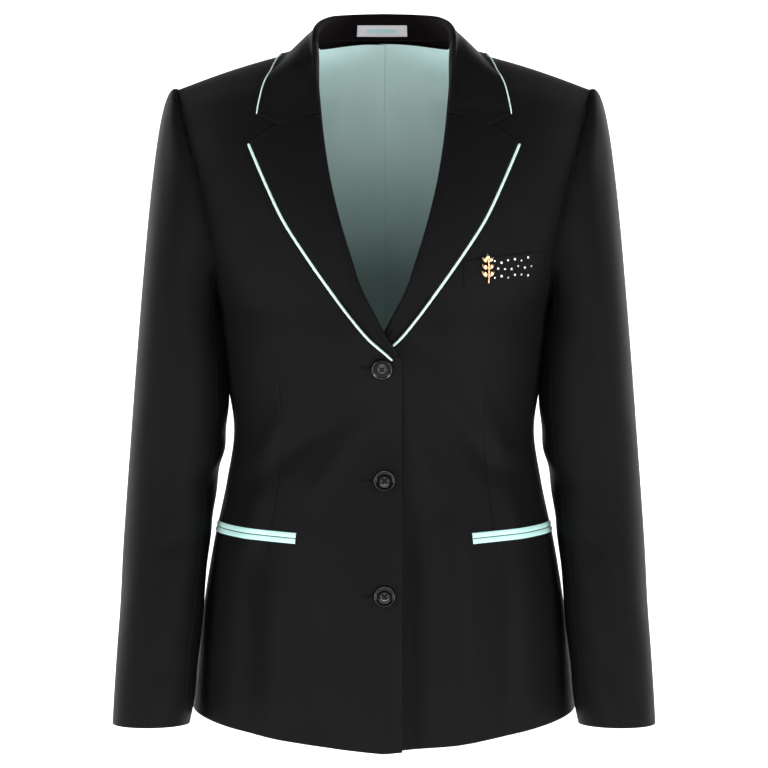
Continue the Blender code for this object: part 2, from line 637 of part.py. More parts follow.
def sleeve_point(angle, along):
    """A point of the sleeve: along 0 at the cuff, 1 where the cap starts, 2 at the armhole."""
    angle = np.asarray(angle, float)
    low = SLEEVE_RINGS[0][0]
    high = SLEEVE_RINGS[-1][0]
    tube = ring(angle, low + (high - low) * np.clip(along, 0.0, 1.0))
    start = ring(angle, np.full_like(angle, high))
    slope = start - ring(angle, np.full_like(angle, high - RING_STEP))
    slope = slope / slope[:, 2:3]
    turn = np.radians(angle)
    end = armhole(angle)
    outer = (1.0 + np.cos(turn)) / 2.0
    reach = UNDERARM_REACH + (CAP_REACH - UNDERARM_REACH) * outer
    away = unit(np.stack([np.full_like(turn, CAP_OUTWARD), -CAP_FORWARD * np.sin(turn),
                          CAP_RISE * np.cos(turn)], axis=1))
    end = end + away * ARMHOLE_SEAM
    lift = (end[:, 2] - high) * (CAP_START + CAP_START_OUTER * outer)
    first = start + slope * lift[:, None]
    second = end + away * reach[:, None]
    t = np.clip(along - 1.0, 0.0, 1.0)[:, None]
    cap = start * (1 - t) ** 3 + 3 * first * t * (1 - t) ** 2 + 3 * second * t ** 2 * (1 - t) + end * t ** 3
    return np.where((along <= 1.0)[:, None], tube, cap)


def sleeve(name, sign, from_angle, to_angle, cells):
    """One piece of a sleeve, between two of its lengthwise seams."""
    alongs = np.concatenate([np.linspace(0.0, 1.0, TUBE_ROWS + 1),
                             1.0 + np.linspace(0.0, 1.0, CAP_ROWS + 1)[1:]])
    angles = np.linspace(from_angle, to_angle, cells + 1)
    inset = math.degrees(SLEEVE_SEAM / SLEEVE_RADIUS)
    angles[0] += inset
    angles[-1] -= inset
    grid = np.stack([sleeve_point(angles, np.full(cells + 1, along)) for along in alongs])
    sheet(name, mirrored(grid, sign), SHELL, "cloth", flip=sign > 0)


def turned_row(panel, roll_x, roll_z, edge_x, edge_z, low, under, bend):
    """Cloth that turns over the roll line and lies on the front as far as its edge."""
    across = np.array([edge_x - roll_x, edge_z - roll_z])
    width = np.linalg.norm(across)
    across = across / width
    distance = np.array([d for d, _ in TURN] + [width * share for share in FALL_SHARES])
    height = np.array([h for _, h in TURN])
    height = np.where(height > 0.0, height * low, height * under)
    settle = FALL_HEIGHTS[-1] + (np.array(FALL_HEIGHTS) - FALL_HEIGHTS[-1]) * low
    height = np.concatenate([height, settle])
    distance[:len(TURN)] *= min(1.0, width / NARROW_LAPEL)
    x = roll_x + across[0] * distance
    z = roll_z + across[1] * distance + bend(np.clip(distance / width, 0.0, 1.0))
    return on_front(panel, x, z, height)


def peak(share, top):
    """A bent line: 0 at both ends, 1 at top."""
    return np.where(share < top, share / top, (1.0 - share) / (1.0 - top))


def lapel_lines(last):
    """Roll and edge points of the lapel's rows, from the gorge down."""
    down = np.linspace(0.0, last, LAPEL_ROWS + 1)
    roll_z = LAPEL_TOP + (ROLL_END - LAPEL_TOP) * down
    edge_z = LAPEL_POINT + (LAPEL_END - LAPEL_POINT) * down
    edge_x = read_line(LAPEL_EDGE, edge_z)
    along = unit(np.gradient(np.stack([edge_x, edge_z], axis=1), axis=0))
    inside = LAPEL_PIPING + PIPING_AIR
    return (down, read_line(ROLL_LINE, roll_z), roll_z, edge_x + along[:, 1] * inside,
            edge_z - along[:, 0] * inside, edge_x, edge_z)


def lapel(name, panel, sign, last):
    """One lapel, turned back on its front, and the piping in its edge."""
    lines = lapel_lines(last)
    rows = []
    for down, roll_x, roll_z, edge_x, edge_z in zip(*lines[:5]):
        low = 1.0 - (1.0 - LOW_TURN) * ease((down - LOW_TURN_FROM) / (LOW_TURN_AT - LOW_TURN_FROM))
        rise = NOTCH_RISE * (1.0 - ease(down / NOTCH_FADE))
        rows.append(turned_row(panel, roll_x, roll_z, edge_x, edge_z, low, 1.0,
                               lambda share: rise * peak(share, NOTCH_SHARE)))
    sheet("lapel_" + name, mirrored(np.stack(rows), sign), FOLDED, "cloth", flip=sign > 0)
    path = on_front(panel, lines[5], lines[6], np.full(LAPEL_ROWS + 1, LAPEL_PIPING + LAID_ON))
    cord("piping_lapel_" + name, mirrored(path, sign), LAPEL_PIPING)


def cord(name, path, radius):
    """A round cord along a path, as piping is."""
    curve = bpy.data.curves.new(name, "CURVE")
    curve.dimensions = "3D"
    curve.bevel_depth = radius * MM
    curve.bevel_resolution = PIPING_SIDES
    curve.use_fill_caps = True
    spline = curve.splines.new("POLY")
    spline.points.add(len(path) - 1)
    for point, place in zip(spline.points, path):
        point.co = (*(np.asarray(place) * MM), 1.0)
    curve.materials.append(material("trim"))
    blazer.objects.link(bpy.data.objects.new(name, curve))


def collar_row(tree, at):
    """One station of the collar: up the stand, over the fold and down the fall."""
    stations = columns(COLLAR_ROWS, COLLAR_COLUMNS, "at")[:, 0]
    neck, fold, edge, front = (read_curve(stations, columns(COLLAR_ROWS, COLLAR_COLUMNS, *names), at)[0]
                               for names in COLLAR_LINES)
    front = float(np.clip(front[0], 0.0, 1.0))
    away = unit((edge - neck) * np.array([1.0, 1.0, 0.0]))
    half = FOLD_HALF_WIDTH
    up = np.array([0.0, 0.0, 1.0])
    stand_top = fold - away * half - up * half
    fall_top = fold + away * half - up * half
    over, under = FOLD_ROUND
    row = [neck, (neck + stand_top) / 2, stand_top, fold + (-away * over - up * under) * half, fold,
           fold + (away * over - up * under) * half, fall_top]
    row += [fall_top + (edge - fall_top) * share for share in FALL_SHARES]
    row = np.array(row)
    if front > 0.0:
        fade = 1.0 - ease((1.0 - at) / GORGE_FADE)
        low_z = min(fold[2], COLLAR_LOW)
        laid = turned_row("front_right", read_line(ROLL_LINE, low_z), low_z, edge[0], edge[2], 1.0,
                          COLLAR_UNDER, lambda share: -GORGE_DIP * fade * peak(share, GORGE_SHARE))
        row = row + (laid - row) * front
    row[len(TURN) - 1:] = rest_on(tree, row[len(TURN) - 1:], FOLDED + COLLAR_AIR)
    return row


def collar(tree):
    """The collar in one piece and its piping."""
    half = np.linspace(0.0, 1.0, COLLAR_STATIONS + 1)
    rows = [collar_row(tree, at) for at in half]
    left = np.stack([mirrored(row, 1) for row in rows])
    right = np.stack([mirrored(row, -1) for row in rows[:0:-1]])
    grid = np.concatenate([right, left])
    sheet("collar", grid, FOLDED, "cloth", flip=True)
    edge = grid[:, -1]
    before = grid[:, -2]
    beyond = COLLAR_PIPING + 2 * PIPING_AIR
    path = edge + unit(edge - before) * beyond
    path = rest_on(tree, path, COLLAR_PIPING + COLLAR_AIR)
    cord("piping_collar", path, COLLAR_PIPING)


def neck_label(tree):
    """A plain woven label on the inside of the stand."""
    stations = columns(COLLAR_ROWS, COLLAR_COLUMNS, "at", "neck_x")
    reach = np.interp(LABEL_WIDTH / 2, stations[:, 1], stations[:, 0])
    strips = []
    for side in np.linspace(-reach, reach, LABEL_CELLS + 1):
        row = mirrored(collar_row(tree, abs(side)), 1.0 if side >= 0 else -1.0)
        neck, top = row[0], row[2]
        strips.append([neck + (top - neck) * share for share in (LABEL_FROM, LABEL_TO)])
    grid = np.array(strips)
    inward = unit(np.cross(grid[:, 1] - grid[:, 0], np.gradient(grid[:, 0], axis=0)))
    inward *= -np.sign(inward[:, 1:2])
    grid = grid + inward[:, None, :] * (LAID_ON + LABEL_THICK)
    sheet("neck_label", grid, LABEL_THICK, "label")


def pocket(name, panel, sign):
    """A double jetted pocket: two narrow strips with a parting between them."""
    front_share, front_at = (float(value[0]) for value in find(panel, POCKET_FRONT_X, POCKET_FRONT_Z))
    shares = np.linspace(POCKET_SIDE_SHARE, front_share, JET_CELLS + 1)
    ats = np.linspace(0.0, 1.0, JET_SEARCH)
    heights = np.linspace(POCKET_SIDE_Z, POCKET_FRONT_Z, JET_CELLS + 1)
    for part, way in (("upper", 1.0), ("lower", -1.0)):
        rows = []
        for offset in (JET_PARTING / 2, JET_PARTING / 2 + JET_HEIGHT):
            row = []
            for share, height in zip(shares, heights):
                column = body(panel, np.full_like(ats, share), ats)[:, 2]
                at = np.array([np.interp(height + way * offset, column, ats)])
                normal = outward(panel, np.array([share]), at)[0]
                row.append(body(panel, share, at)[0] + normal * (LAID_ON + JET_THICK))
            rows.append(row)
        grid = np.array(rows)
        sheet("pocket_jet_" + part + "_" + name, mirrored(grid, sign), JET_THICK, "trim", flip=sign * way > 0)


def chest_welt(panel, sign):
    """The breast pocket's welt."""
    inner = np.array(WELT_INNER)
    outer = np.array(WELT_OUTER)
    cells, rows = WELT_CELLS
    across, up = np.meshgrid(np.linspace(0.0, 1.0, cells + 1), np.linspace(-0.5, 0.5, rows + 1))
    x = inner[0] + (outer[0] - inner[0]) * across
    z = inner[1] + (outer[1] - inner[1]) * across + WELT_HEIGHT * up
    grid = on_front(panel, x.ravel(), z.ravel(), np.full(x.size, WELT_STANDS))
    grid = grid.reshape(x.shape + (3,))
    sheet("chest_welt", mirrored(grid, sign), WELT_THICK, "cloth", flip=sign > 0)


def chest_pin(panel, sign):
    """A plain leaf sprig pin on the welt: paired leaves on a stem, one flat casting."""
    centre = on_front(panel, PIN_CENTRE[0], PIN_CENTRE[1], PIN_STANDS)[0]
    share, at = find(panel, PIN_CENTRE[0], PIN_CENTRE[1])
    normal = outward(panel, share, at)[0]
    outline = []
    lean = math.radians(PIN_LEAN)
    for side in (1, -1):
        for k in range(PIN_PAIRS):
            pair = k if side > 0 else PIN_PAIRS - 1 - k
            foot = np.array([PIN_STEM_HALF * side, PIN_STEM * ((pair + PIN_FOOT) / PIN_SPACINGS - 0.5)])
            along = np.array([math.cos(lean) * side, math.sin(lean)])
            across = np.array([-along[1], along[0]]) * side
            for reach, wide in PIN_LEAF_SHAPE[::side]:
                outline.append(foot + along * reach * PIN_LEAF + across * wide)
        for way in (1, -1):
            outline.append(np.array([PIN_STEM_HALF * side * way, PIN_STEM / 2 * side]))
    curve = bpy.data.curves.new("chest_pin", "CURVE")
    curve.dimensions = "2D"
    curve.fill_mode = "BOTH"
    curve.extrude = PIN_THICK / 2 * MM
    spline = curve.splines.new("POLY")
    spline.points.add(len(outline) - 1)
    for point, spot in zip(spline.points, outline):
        point.co = (spot[0] * MM, spot[1] * MM, 0.0, 1.0)
    spline.use_cyclic_u = True
    curve.materials.append(material("gold"))
    pin = bpy.data.objects.new("chest_pin", curve)
    place = mirrored(centre + normal * (PIN_THICK / 2), sign)
    facing = Vector(mirrored(normal, sign))
    pin.location = Vector(place) * MM
    pin.rotation_euler = facing.to_track_quat("Z", "Y").to_euler()
    blazer.objects.link(pin)


def button_mesh():
    """Half the section of a button, which is turned on its axis."""
    mesh = bpy.data.meshes.new("button_profile")
    edges = [(i, i + 1) for i in range(len(BUTTON_PROFILE) - 1)]
    mesh.from_pydata([(x * MM, 0.0, z * MM) for x, z in BUTTON_PROFILE], edges, [])
    mesh.materials.append(material("button"))
    return mesh


def button(number, x, z, air, mesh):
    """A four hole button, sewn flat on the front that laps over."""
    share, at = find("front_right", -x, z)
    normal = mirrored(outward("front_right", share, at)[0], RIGHT)
    seat = mirrored(body("front_right", share, at)[0], RIGHT) + normal * air
    piece = bpy.data.objects.new("button_%d" % number, mesh)
    turn = piece.modifiers.new("Turn", "SCREW")
    turn.steps = BUTTON_STEPS
    turn.render_steps = BUTTON_STEPS
    turn.use_merge_vertices = True
    turn.merge_threshold = 0.0001
    piece.location = Vector(seat) * MM
    piece.rotation_euler = Vector(normal).to_track_quat("Z", "Y").to_euler()
    blazer.objects.link(piece)
    for k in range(4):
        angle = math.radians(45 + 90 * k)
        bpy.ops.mesh.primitive_cylinder_add(vertices=DRILL_SIDES, radius=BUTTON_HOLE * MM,
                                            depth=DRILL_LENGTH * MM)
        drill = bpy.context.object
        drill.name = "drill_%d_%d" % (number, k)
        offset = Vector((math.cos(angle), math.sin(angle), 0.0)) * HOLE_SPREAD * MM
        turned = piece.rotation_euler.to_matrix()
        drill.location = piece.location + turned @ offset
        drill.rotation_euler = piece.rotation_euler
        for home in list(drill.users_collection):
            home.objects.unlink(drill)
        cutters.objects.link(drill)
        drill.hide_render = True
        drill.display_type = "WIRE"
        cut = piece.modifiers.new("Hole %d" % k, "BOOLEAN")
        cut.operation = "DIFFERENCE"
        cut.object = drill


for leftover in list(bpy.data.objects):
    bpy.data.objects.remove(leftover, do_unlink=True)

blazer = bpy.data.collections.new("school_blazer")
cutters = bpy.data.collections.new("cutters")
bpy.context.scene.collection.children.link(blazer)
bpy.context.scene.collection.children.link(cutters)

RIGHT, LEFT = -1, 1                # the wearer's right and left sides
front_panel("front_right", RIGHT)
front_panel("front_left", LEFT)
back_panel("back_right", RIGHT)
back_panel("back_left", LEFT)
for side_name, side in (("right", RIGHT), ("left", LEFT)):
    sleeve("sleeve_top_" + side_name, side, BACK_SLEEVE_SEAM - 360, FRONT_SLEEVE_SEAM, TOP_SLEEVE_CELLS)
    sleeve("sleeve_under_" + side_name, side, FRONT_SLEEVE_SEAM, BACK_SLEEVE_SEAM, UNDER_SLEEVE_CELLS)
lapel("right", "front_right", RIGHT, 1.0)
lapel("left", "front_left", LEFT, UNDER_LAPEL_SHARE)
torso = clear_torso()
collar(torso)
neck_label(torso)
lining("lining_right", RIGHT, -LINING_PLEAT, PLEAT_LIFT)
lining("lining_left", LEFT, LINING_UNDER, 0.0)
pocket("right", "front_right", RIGHT)
pocket("left", "front_left", LEFT)
chest_welt("front_left", LEFT)
chest_pin("front_left", LEFT)
profile_mesh = button_mesh()
for index, (button_x, button_z, button_air) in enumerate(BUTTON_PLACES):
    button(index + 1, button_x, button_z, button_air, profile_mesh)
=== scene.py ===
"""School blazer, its looks: fine cloth, trim, buttons, lining, light and camera.

The shapes are worked out from the same sections and sizes as its solids, in millimetres, and are
turned to metres where a mesh is made. The front faces -Y, and the wearer's left is at +X.
"""
from functools import partial
import math

import bpy
import numpy as np
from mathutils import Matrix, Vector
from mathutils.bvhtree import BVHTree


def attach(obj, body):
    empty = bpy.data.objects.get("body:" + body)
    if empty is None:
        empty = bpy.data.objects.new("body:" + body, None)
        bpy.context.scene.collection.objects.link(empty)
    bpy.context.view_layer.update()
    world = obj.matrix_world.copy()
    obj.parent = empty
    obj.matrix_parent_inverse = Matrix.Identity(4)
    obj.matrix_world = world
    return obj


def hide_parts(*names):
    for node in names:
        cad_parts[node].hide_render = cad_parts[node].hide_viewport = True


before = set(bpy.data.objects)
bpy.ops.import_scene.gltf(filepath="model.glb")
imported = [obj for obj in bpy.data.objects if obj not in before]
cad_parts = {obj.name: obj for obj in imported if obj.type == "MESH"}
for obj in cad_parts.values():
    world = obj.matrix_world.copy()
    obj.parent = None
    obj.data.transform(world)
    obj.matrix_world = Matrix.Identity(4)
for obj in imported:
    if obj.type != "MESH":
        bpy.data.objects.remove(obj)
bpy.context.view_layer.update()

MM = 0.001
RIGHT, LEFT = -1, 1  # the wearer's right and left sides

# Walls and clearances, in millimetres
SHELL = 1.8  # suiting with its canvas
LINING = 1.0
LINING_RIM = 0.4  # how far the round of its edge reaches
FOLDED = 1.8  # lapel and collar
FOLDED_RIM = 0.8  # how far the rounds of their edges reach
ARMHOLE_SEAM = 0.15
LAID_ON = 0.35  # air under a piece that lies on a panel
SEAM_AIR = -0.25  # each fine panel runs this far into its seam
SEAM_TAPE = 1.1  # radius of the seam allowance rolled inside each armhole
FALL_AIR = 0.7  # under the collar's fall

# Fine grids
FRONT_COLUMNS = 72
BACK_COLUMNS = 56
PANEL_ROWS = 216
TOP_SLEEVE_COLUMNS = 64
UNDER_SLEEVE_COLUMNS = 28
TUBE_ROWS = 150
CAP_ROWS = 66
LAPEL_ROWS = 130
FOLD_COLUMNS = 44
COLLAR_STATIONS = 84
TORSO_CELLS = (60, 150)
WELT_POINTS = (61, 23)
LABEL_POINTS = (41, 13)
SEAM_POINTS = 121
JET_ROWS = 11
BUTTON_SIDES = 64
HOLE_SIDES = 24
RIM_STEPS = 4  # faces round the edge of a cloth wall
TURN_COLUMNS = 20  # of a lapel's or the collar's columns, these go round its fold
STAND_COLUMNS = 17  # and of the collar's, these are the stand's inside

# Darts: share of the front where each lies, and the places up it where it starts and ends
DARTS = {"front_right": 0.50, "front_left": 0.51}
DART_FROM = 0.24
DART_TO = 0.52
DART_DEPTH = 0.55
DART_WIDTH = 0.8
DART_OPENS = 0.03  # it deepens and fades over these shares of the height
DART_CLOSES = 0.05
FRONT_WIDTH = 190.0  # millimetres that a share of 1 stands for, at the dart
DART_COLUMNS = (0.0, 0.0014, 0.003, 0.0055, 0.009)  # close grid lines on each side of it
DART_CLEARS = 0.0105  # the even lines nearer than this are left out
PUCKER_HEIGHT = 0.3  # the sleeve head's puckers, and how far down its cap they reach
PUCKER_REACH = 0.16
PUCKERS_FROM = 1.2  # none below this place, where 1 is the foot of the cap and 2 its top
PUCKER_WAVES = (31.0, 7.0)  # ripples in a full turn: fine ones, swelling and fading with broad ones
PUCKER_SHIFT = 0.6  # of the broad ones, in radians

# Drag folds of the fronts: where each starts and ends (x, z), how wide, how high
RIGHT_FRONT_FOLDS = (
    (44, -246, 84, -334, 20, 4.0),
    (76, -312, 124, -404, 13, 5.4),
    (108, -386, 136, -480, 12, 4.4),
    (-24, -284, 152, -416, 15, -4.8),
    (12, -330, 74, -424, 10, 3.8),
    (96, -440, 98, -650, 13, 4.2),
    (124, -450, 126, -650, 12, -3.8),
    (62, -500, 54, -650, 13, -2.6),
    (110, -146, 132, -200, 18, -1.4),
    (66, -60, 96, -150, 20, 1.0),
)
LEFT_FRONT_FOLDS = (
    (40, -246, 78, -330, 20, 4.0),
    (74, -306, 118, -394, 13, 5.4),
    (104, -378, 134, -462, 12, 4.2),
    (0, -242, 136, -430, 15, -4.8),
    (20, -326, 60, -424, 9, 3.6),
    (20, -370, 24, -700, 24, -12.0),
    (56, -360, 66, -690, 13, 3.4),
    (72, -400, 80, -660, 13, 4.6),
    (112, -440, 114, -650, 12, -3.8),
    (112, -146, 132, -196, 18, -1.4),
    (70, -60, 98, -150, 20, 1.0),
)
BACK_FOLDS = (
    (14, -332, 126, -300, 16, 3.2),
    (12, -372, 122, -396, 15, 3.0),
    (20, -350, 96, -346, 10, -2.2),
    (44, -430, 60, -640, 16, -3.2),
    (92, -430, 108, -640, 15, 3.4),
    (58, -120, 150, -190, 22, -2.6),
    (30, -150, 110, -230, 24, 2.0),
)
# Sleeve creases: angle, height, width in degrees, width in millimetres, depth
SLEEVE_FOLDS = (
    (150, -402, 34, 13, -3.0),
    (165, -372, 30, 12, 2.6),
    (215, -418, 36, 14, -3.0),
    (120, -560, 34, 16, -2.4),
    (60, -330, 30, 26, 2.0),
    (178, -262, 44, 42, 3.6),
    (182, -322, 32, 26, 2.4),
    (178, -240, 46, 34, 2.6),
    (110, -452, 22, 10, -1.6),
    (135, -480, 30, 12, 1.6),
    (240, -360, 30, 14, 1.8),
    (300, -440, 30, 16, -2.0),
    (20, -500, 28, 40, -1.4),
    (70, -250, 24, 50, -1.4),
)

# Body sections from the hem up. Each row runs from the side seam or armhole round to the centre;
# the corner is where the tangents of its two ends meet.
ROW_COLUMNS = ("at", "side_x", "side_y", "side_z", "corner_x", "corner_y", "corner_z",
               "centre_x", "centre_y", "centre_z")
FRONT_ROWS = (
    (0.000, 179.5, 0, -609.5, 178, -126, -625, 0, -127, -641),  # hem
    (0.085, 174.5, 0, -560, 173, -124, -569, 0, -125, -574),  # low hip
    (0.180, 167.0, 0, -500, 165, -120, -505, 0, -121, -508),  # hip
    (0.255, 159.5, 0, -455, 156, -115, -458, 0, -116, -460),  # pocket
    (0.345, 147.5, 0, -398, 144, -107, -399, 0, -108, -400),  # high hip
    (0.420, 141.0, 0, -351, 138, -103, -351, 0, -104, -352),  # waist
    (0.490, 146.5, 0, -309, 143, -112, -309, 0, -113, -309),  # under bust
    (0.565, 152.5, 0, -262, 150, -126, -264, 0, -125, -266),  # bust
    (0.605, 156.0, 0, -237, 153, -127, -238, 0, -124, -240),  # underarm
    (0.650, 154.0, -30, -222, 150, -126, -214, 0, -120, -212),
    (0.700, 156.0, -50, -195, 144, -120, -184, 0, -112, -180),
    (0.750, 161.0, -55, -165, 143, -111, -152, 0, -101, -147),
    (0.800, 167.5, -51, -135, 143, -99, -121, 0, -88, -116),  # armhole notch
    (0.850, 176.0, -42, -103, 142, -84, -89, 0, -73, -87),
    (0.910, 186.0, -25, -69, 132, -62, -54, 0, -58, -62),
    (0.955, 191.5, -11, -45, 112, -42, -20, 0, -48, -44),  # yoke
)
BACK_ROWS = (
    (0.000, 179.5, 0, -609.5, 178, 118, -611, 0, 120, -620),
    (0.085, 174.5, 0, -560, 173, 120, -562, 0, 123, -566),
    (0.180, 167.0, 0, -500, 165, 119, -500, 0, 122, -502),
    (0.255, 159.5, 0, -455, 156, 112, -455, 0, 114, -455),
    (0.345, 147.5, 0, -398, 144, 99, -398, 0, 99, -398),
    (0.420, 141.0, 0, -351, 138, 89, -351, 0, 89, -351),
    (0.490, 146.5, 0, -309, 158, 92, -308, 0, 91, -306),
    (0.565, 152.5, 0, -262, 170, 104, -260, 0, 97, -256),
    (0.605, 156.0, 0, -237, 162, 108, -233, 0, 100, -227),
    (0.650, 157.0, 26, -222, 152, 111, -208, 0, 103, -196),
    (0.700, 161.5, 44, -195, 150, 114, -176, 0, 105, -162),
    (0.750, 167.0, 52, -165, 150, 114, -145, 0, 106, -128),
    (0.800, 173.0, 53, -135, 148, 108, -108, 0, 104, -95),
    (0.850, 181.0, 46, -103, 140, 100, -72, 0, 98, -60),
    (0.910, 188.5, 31, -69, 126, 86, -36, 0, 88, -27),
    (0.955, 192.5, 18, -45, 104, 75, -9, 0, 79, -4),
)
UNDERARM_AT = 0.605
ROUND = 0.56  # how full a section is between its two tangents
SHOULDER_TIP = (194.0, 5.0, -31.2)
NECK_POINT = (66.0, 16.0, 9.5)
NECK_AT = 0.66  # share of the top row that is shoulder seam
SHOULDER_SPRING = 3.0  # the shoulder seam bows up by this
FRONT_PIT = (-44.0, -26.0)  # y and z where the front neckline would meet the centre
NAPE = (68.0, 20.0)  # y and z of the back neckline at the centre
SEAM_LEVEL = 0.15  # how steeply the panels rise into the shoulder seam

# Working steps of the search for a point seen from the front
NORMAL_STEP = 0.004  # share of the panel that its normals are taken over
SEARCH_STEP = 0.001
SEARCH_LIMIT = 0.05
SEARCH_ROUNDS = 6
SEARCH_CELLS = (60, 90)
HALVINGS = 40
PAST_CENTRE = 1.3  # a share may run this far, past the centre
JET_SEARCH = 400

# Line that the lapel rolls on, and its piping: height, distance from the centre
ROLL_LINE = ((-640, -16.6), (-286, -16.6), (-269, -3.0), (-244, 11.0), (-230, 18.5), (-196, 30.5),
             (-165, 40.0), (-128, 49.0), (-86, 56.0), (-46, 60.4), (-8, 63.5), (20, 66.5))
# How far inside the fold the front panel stops, by height
ROLL_CLEARS = ((-284.6, 0.0), (-284.5, 4.7), (-255, 4.4), (-225, 1.7), (-75, 1.7), (-45, 3.7),
               (9, 4.0))
LAPEL_EDGE = ((-292, -12.0), (-286, -6.7), (-269, 13.0), (-251, 28.6), (-233, 42.2), (-196, 68.5),
              (-160, 91.5), (-124, 108.7), (-88, 124.4))
LAPEL_TOP = -61.0  # height of the gorge seam on the roll line
LAPEL_POINT = -88.4  # height of the lapel's point
ROLL_END = -281.5  # height where the lapel's fold ends
LAPEL_END = -286.5  # height where its edge ends
UNDER_LAPEL_SHARE = 0.95  # the lapel underneath stops short, under the other front
NOTCH_SHARE = 0.62  # where along the gorge the notch opens
NOTCH_RISE = 6.5  # the gorge runs higher than a straight line there
NOTCH_FADE = 0.12

# Fold at the roll line and the cloth that turns over it: distance from the fold, height
TURN = ((4.8, -5.2), (2.0, -5.0), (-0.4, -3.6), (-1.5, -1.0), (-1.6, 1.2), (-0.4, 3.4), (3.0, 4.5))
FALL_SHARES = (0.32, 0.66, 1.0)
FALL_HEIGHTS = (4.2, 3.0, 2.3)
LOW_TURN = 0.62  # the roll is flatter by this at the top button
LOW_TURN_FROM = 0.45  # shares of the lapel's length where it starts to be, and is
LOW_TURN_AT = 0.95
NARROW_LAPEL = 12.0  # the fold is scaled down where the lapel is narrower than this

# The fronts lap: the one underneath lies this far in, more where its lapel is covered
LAP_INSET = 3.6
LAP_AT_BREAK = 9.6
LAP_FADE_FROM = 20.0
LAP_FADE_TO = 85.0
BREAK_Z = -268.0  # height where the covered lapel is thickest
BREAK_SPREAD = 55.0
LAP_TOP = -70.0  # the inset starts here and is full this far below
LAP_GROWS = 120.0

# Ends of the soft folds
FOLD_ENDS = 0.3  # a soft fold fades over this share of its length
HEM_Z = -600.0  # one that ends below this runs off the hem
HEM_FOLD = 0.35
FOLD_STARTS = 0.2  # folds fade in over this share of a panel from its side

# Sleeve rings from the cuff up
RING_COLUMNS = ("z", "x", "y", "half_width", "half_depth")
SLEEVE_RINGS = (
    (-622, 215.4, -44, 35.7, 44.0),
    (-600, 212.8, -42, 37.3, 44.5),
    (-570, 210.8, -38, 37.8, 45.5),
    (-530, 207.7, -31, 39.2, 47.5),
    (-474, 204.9, -17, 39.9, 50.0),
    (-436, 201.4, -7, 41.4, 51.5),
    (-398, 198.0, -1, 42.6, 52.5),
    (-361, 194.2, 0, 43.7, 53.5),
    (-323, 191.6, -1, 43.5, 55.5),
    (-290, 191.2, -2, 41.4, 57.0),
    (-262, 191.8, -2, 38.6, 58.0),
)
FRONT_SLEEVE_SEAM = 144  # degrees from the outside of the arm, round by the front
BACK_SLEEVE_SEAM = 252
CAP_REACH = 18.5  # the sleeve head stands out this far before it turns down
UNDERARM_REACH = 6.0
CAP_OUTWARD = 0.85
CAP_RISE = 0.55
CAP_FORWARD = 0.50
CAP_START = 0.42  # share of its height that the cap keeps the tube's slope for,
CAP_START_OUTER = 0.32  # and more on the outside of the arm
RING_STEP = 4.0
SLEEVE_RADIUS = 45.0
FOLD_LEAN = 0.35  # how a sleeve's crease leans round the arm, mm for each degree

# Collar stations from the centre back to the notch: neck seam, top of the fold, outer edge, and
# how far the station already lies on the front as the lapel does
COLLAR_COLUMNS = ("at", "neck_x", "neck_y", "neck_z", "fold_x", "fold_y", "fold_z",
                  "edge_x", "edge_y", "edge_z", "on_front")
COLLAR_ROWS = (
    (0.00, 0.0, 66.0, 21.3, 0.0, 71.5, 48.6, 0.0, 84.0, 0.0, 0.0),
    (0.20, 34.0, 58.5, 20.8, 33.6, 64.5, 46.8, 46.0, 78.0, -0.5, 0.0),
    (0.38, 56.0, 41.0, 18.5, 53.2, 45.5, 42.2, 80.0, 52.0, -1.0, 0.0),
    (0.52, 65.5, 20.0, 13.5, 62.2, 21.0, 33.5, 92.0, 18.5, 2.4, 0.0),
    (0.64, 61.0, 1.0, 4.0, 65.2, -4.0, 21.5, 102.8, -10.5, -11.6, 0.08),
    (0.76, 60.5, -19.0, -14.0, 63.4, -26.0, -2.0, 110.0, -38.0, -27.0, 0.6),
    (0.88, 65.0, -40.0, -32.0, 61.2, -46.0, -34.0, 114.0, -60.0, -45.0, 1.0),
    (1.00, 63.0, -55.0, -58.0, 59.0, -58.0, -60.2, 116.5, -72.0, -60.6, 1.0),
)
FOLD_HALF_WIDTH = 3.4
FOLD_ROUND = (0.71, 0.29)  # a point of the fold's round, out and down from its top
COLLAR_LOW = -4.0  # below this height it lies on the front as the lapel does
COLLAR_UNDER = 1.35  # how much deeper than the lapel it turns under
GORGE_DIP = 10.5  # the gorge dips below a straight line at the notch
GORGE_SHARE = 0.66
GORGE_FADE = 0.10

# Piping and jets, the trim in the contrast colour
LAPEL_PIPING = 1.3  # radius
THIN_PIPING = 0.62  # and the collar's
TUBE_END = 0.55  # a cord thins to this share at its ends, under a dome of this height
TUBE_DOME = 0.4
PIPING_WAVES = 0.05  # share of its radius that sewn piping varies by
PIPING_AIR = 0.35  # between the piping and the edge it is sewn to
POCKET_FRONT_X = 80.0
POCKET_FRONT_Z = -448.5
POCKET_SIDE_Z = -440.5
POCKET_SIDE_SHARE = 0.055  # how close to the side seam the pocket starts
JET_HEIGHT = 4.9
JET_RIM = 0.45
JET_COLUMNS = 60
JET_SWELL = 0.75  # how far the middle of a jet stands out
JET_PARTING = 0.7

# Chest welt and the pin on it
WELT_INNER = (72.0, -209.5)  # x and z of the middle of its inner end
WELT_OUTER = (147.0, -199.0)
WELT_HEIGHT = 25.0
WELT_THICK = 1.4
WELT_RIM = 0.6
WELT_STANDS = 1.1  # its face above the curve of the chest, between whose cells it lies
PIN_CENTRE = (93.0, -205.5)
PIN_LEAF = 7.6  # length of a leaf of the pin
PIN_PAIRS = 3
PIN_LEAN = 42.0  # degrees that a leaf rises from the level
PIN_FOOT = 0.9  # the lowest pair starts this many spacings up the stem
PIN_SPACINGS = 3.6  # and the stem is this many spacings long
PIN_STEM = 24.0
PIN_STANDS = 2.9  # back of the pin above the front

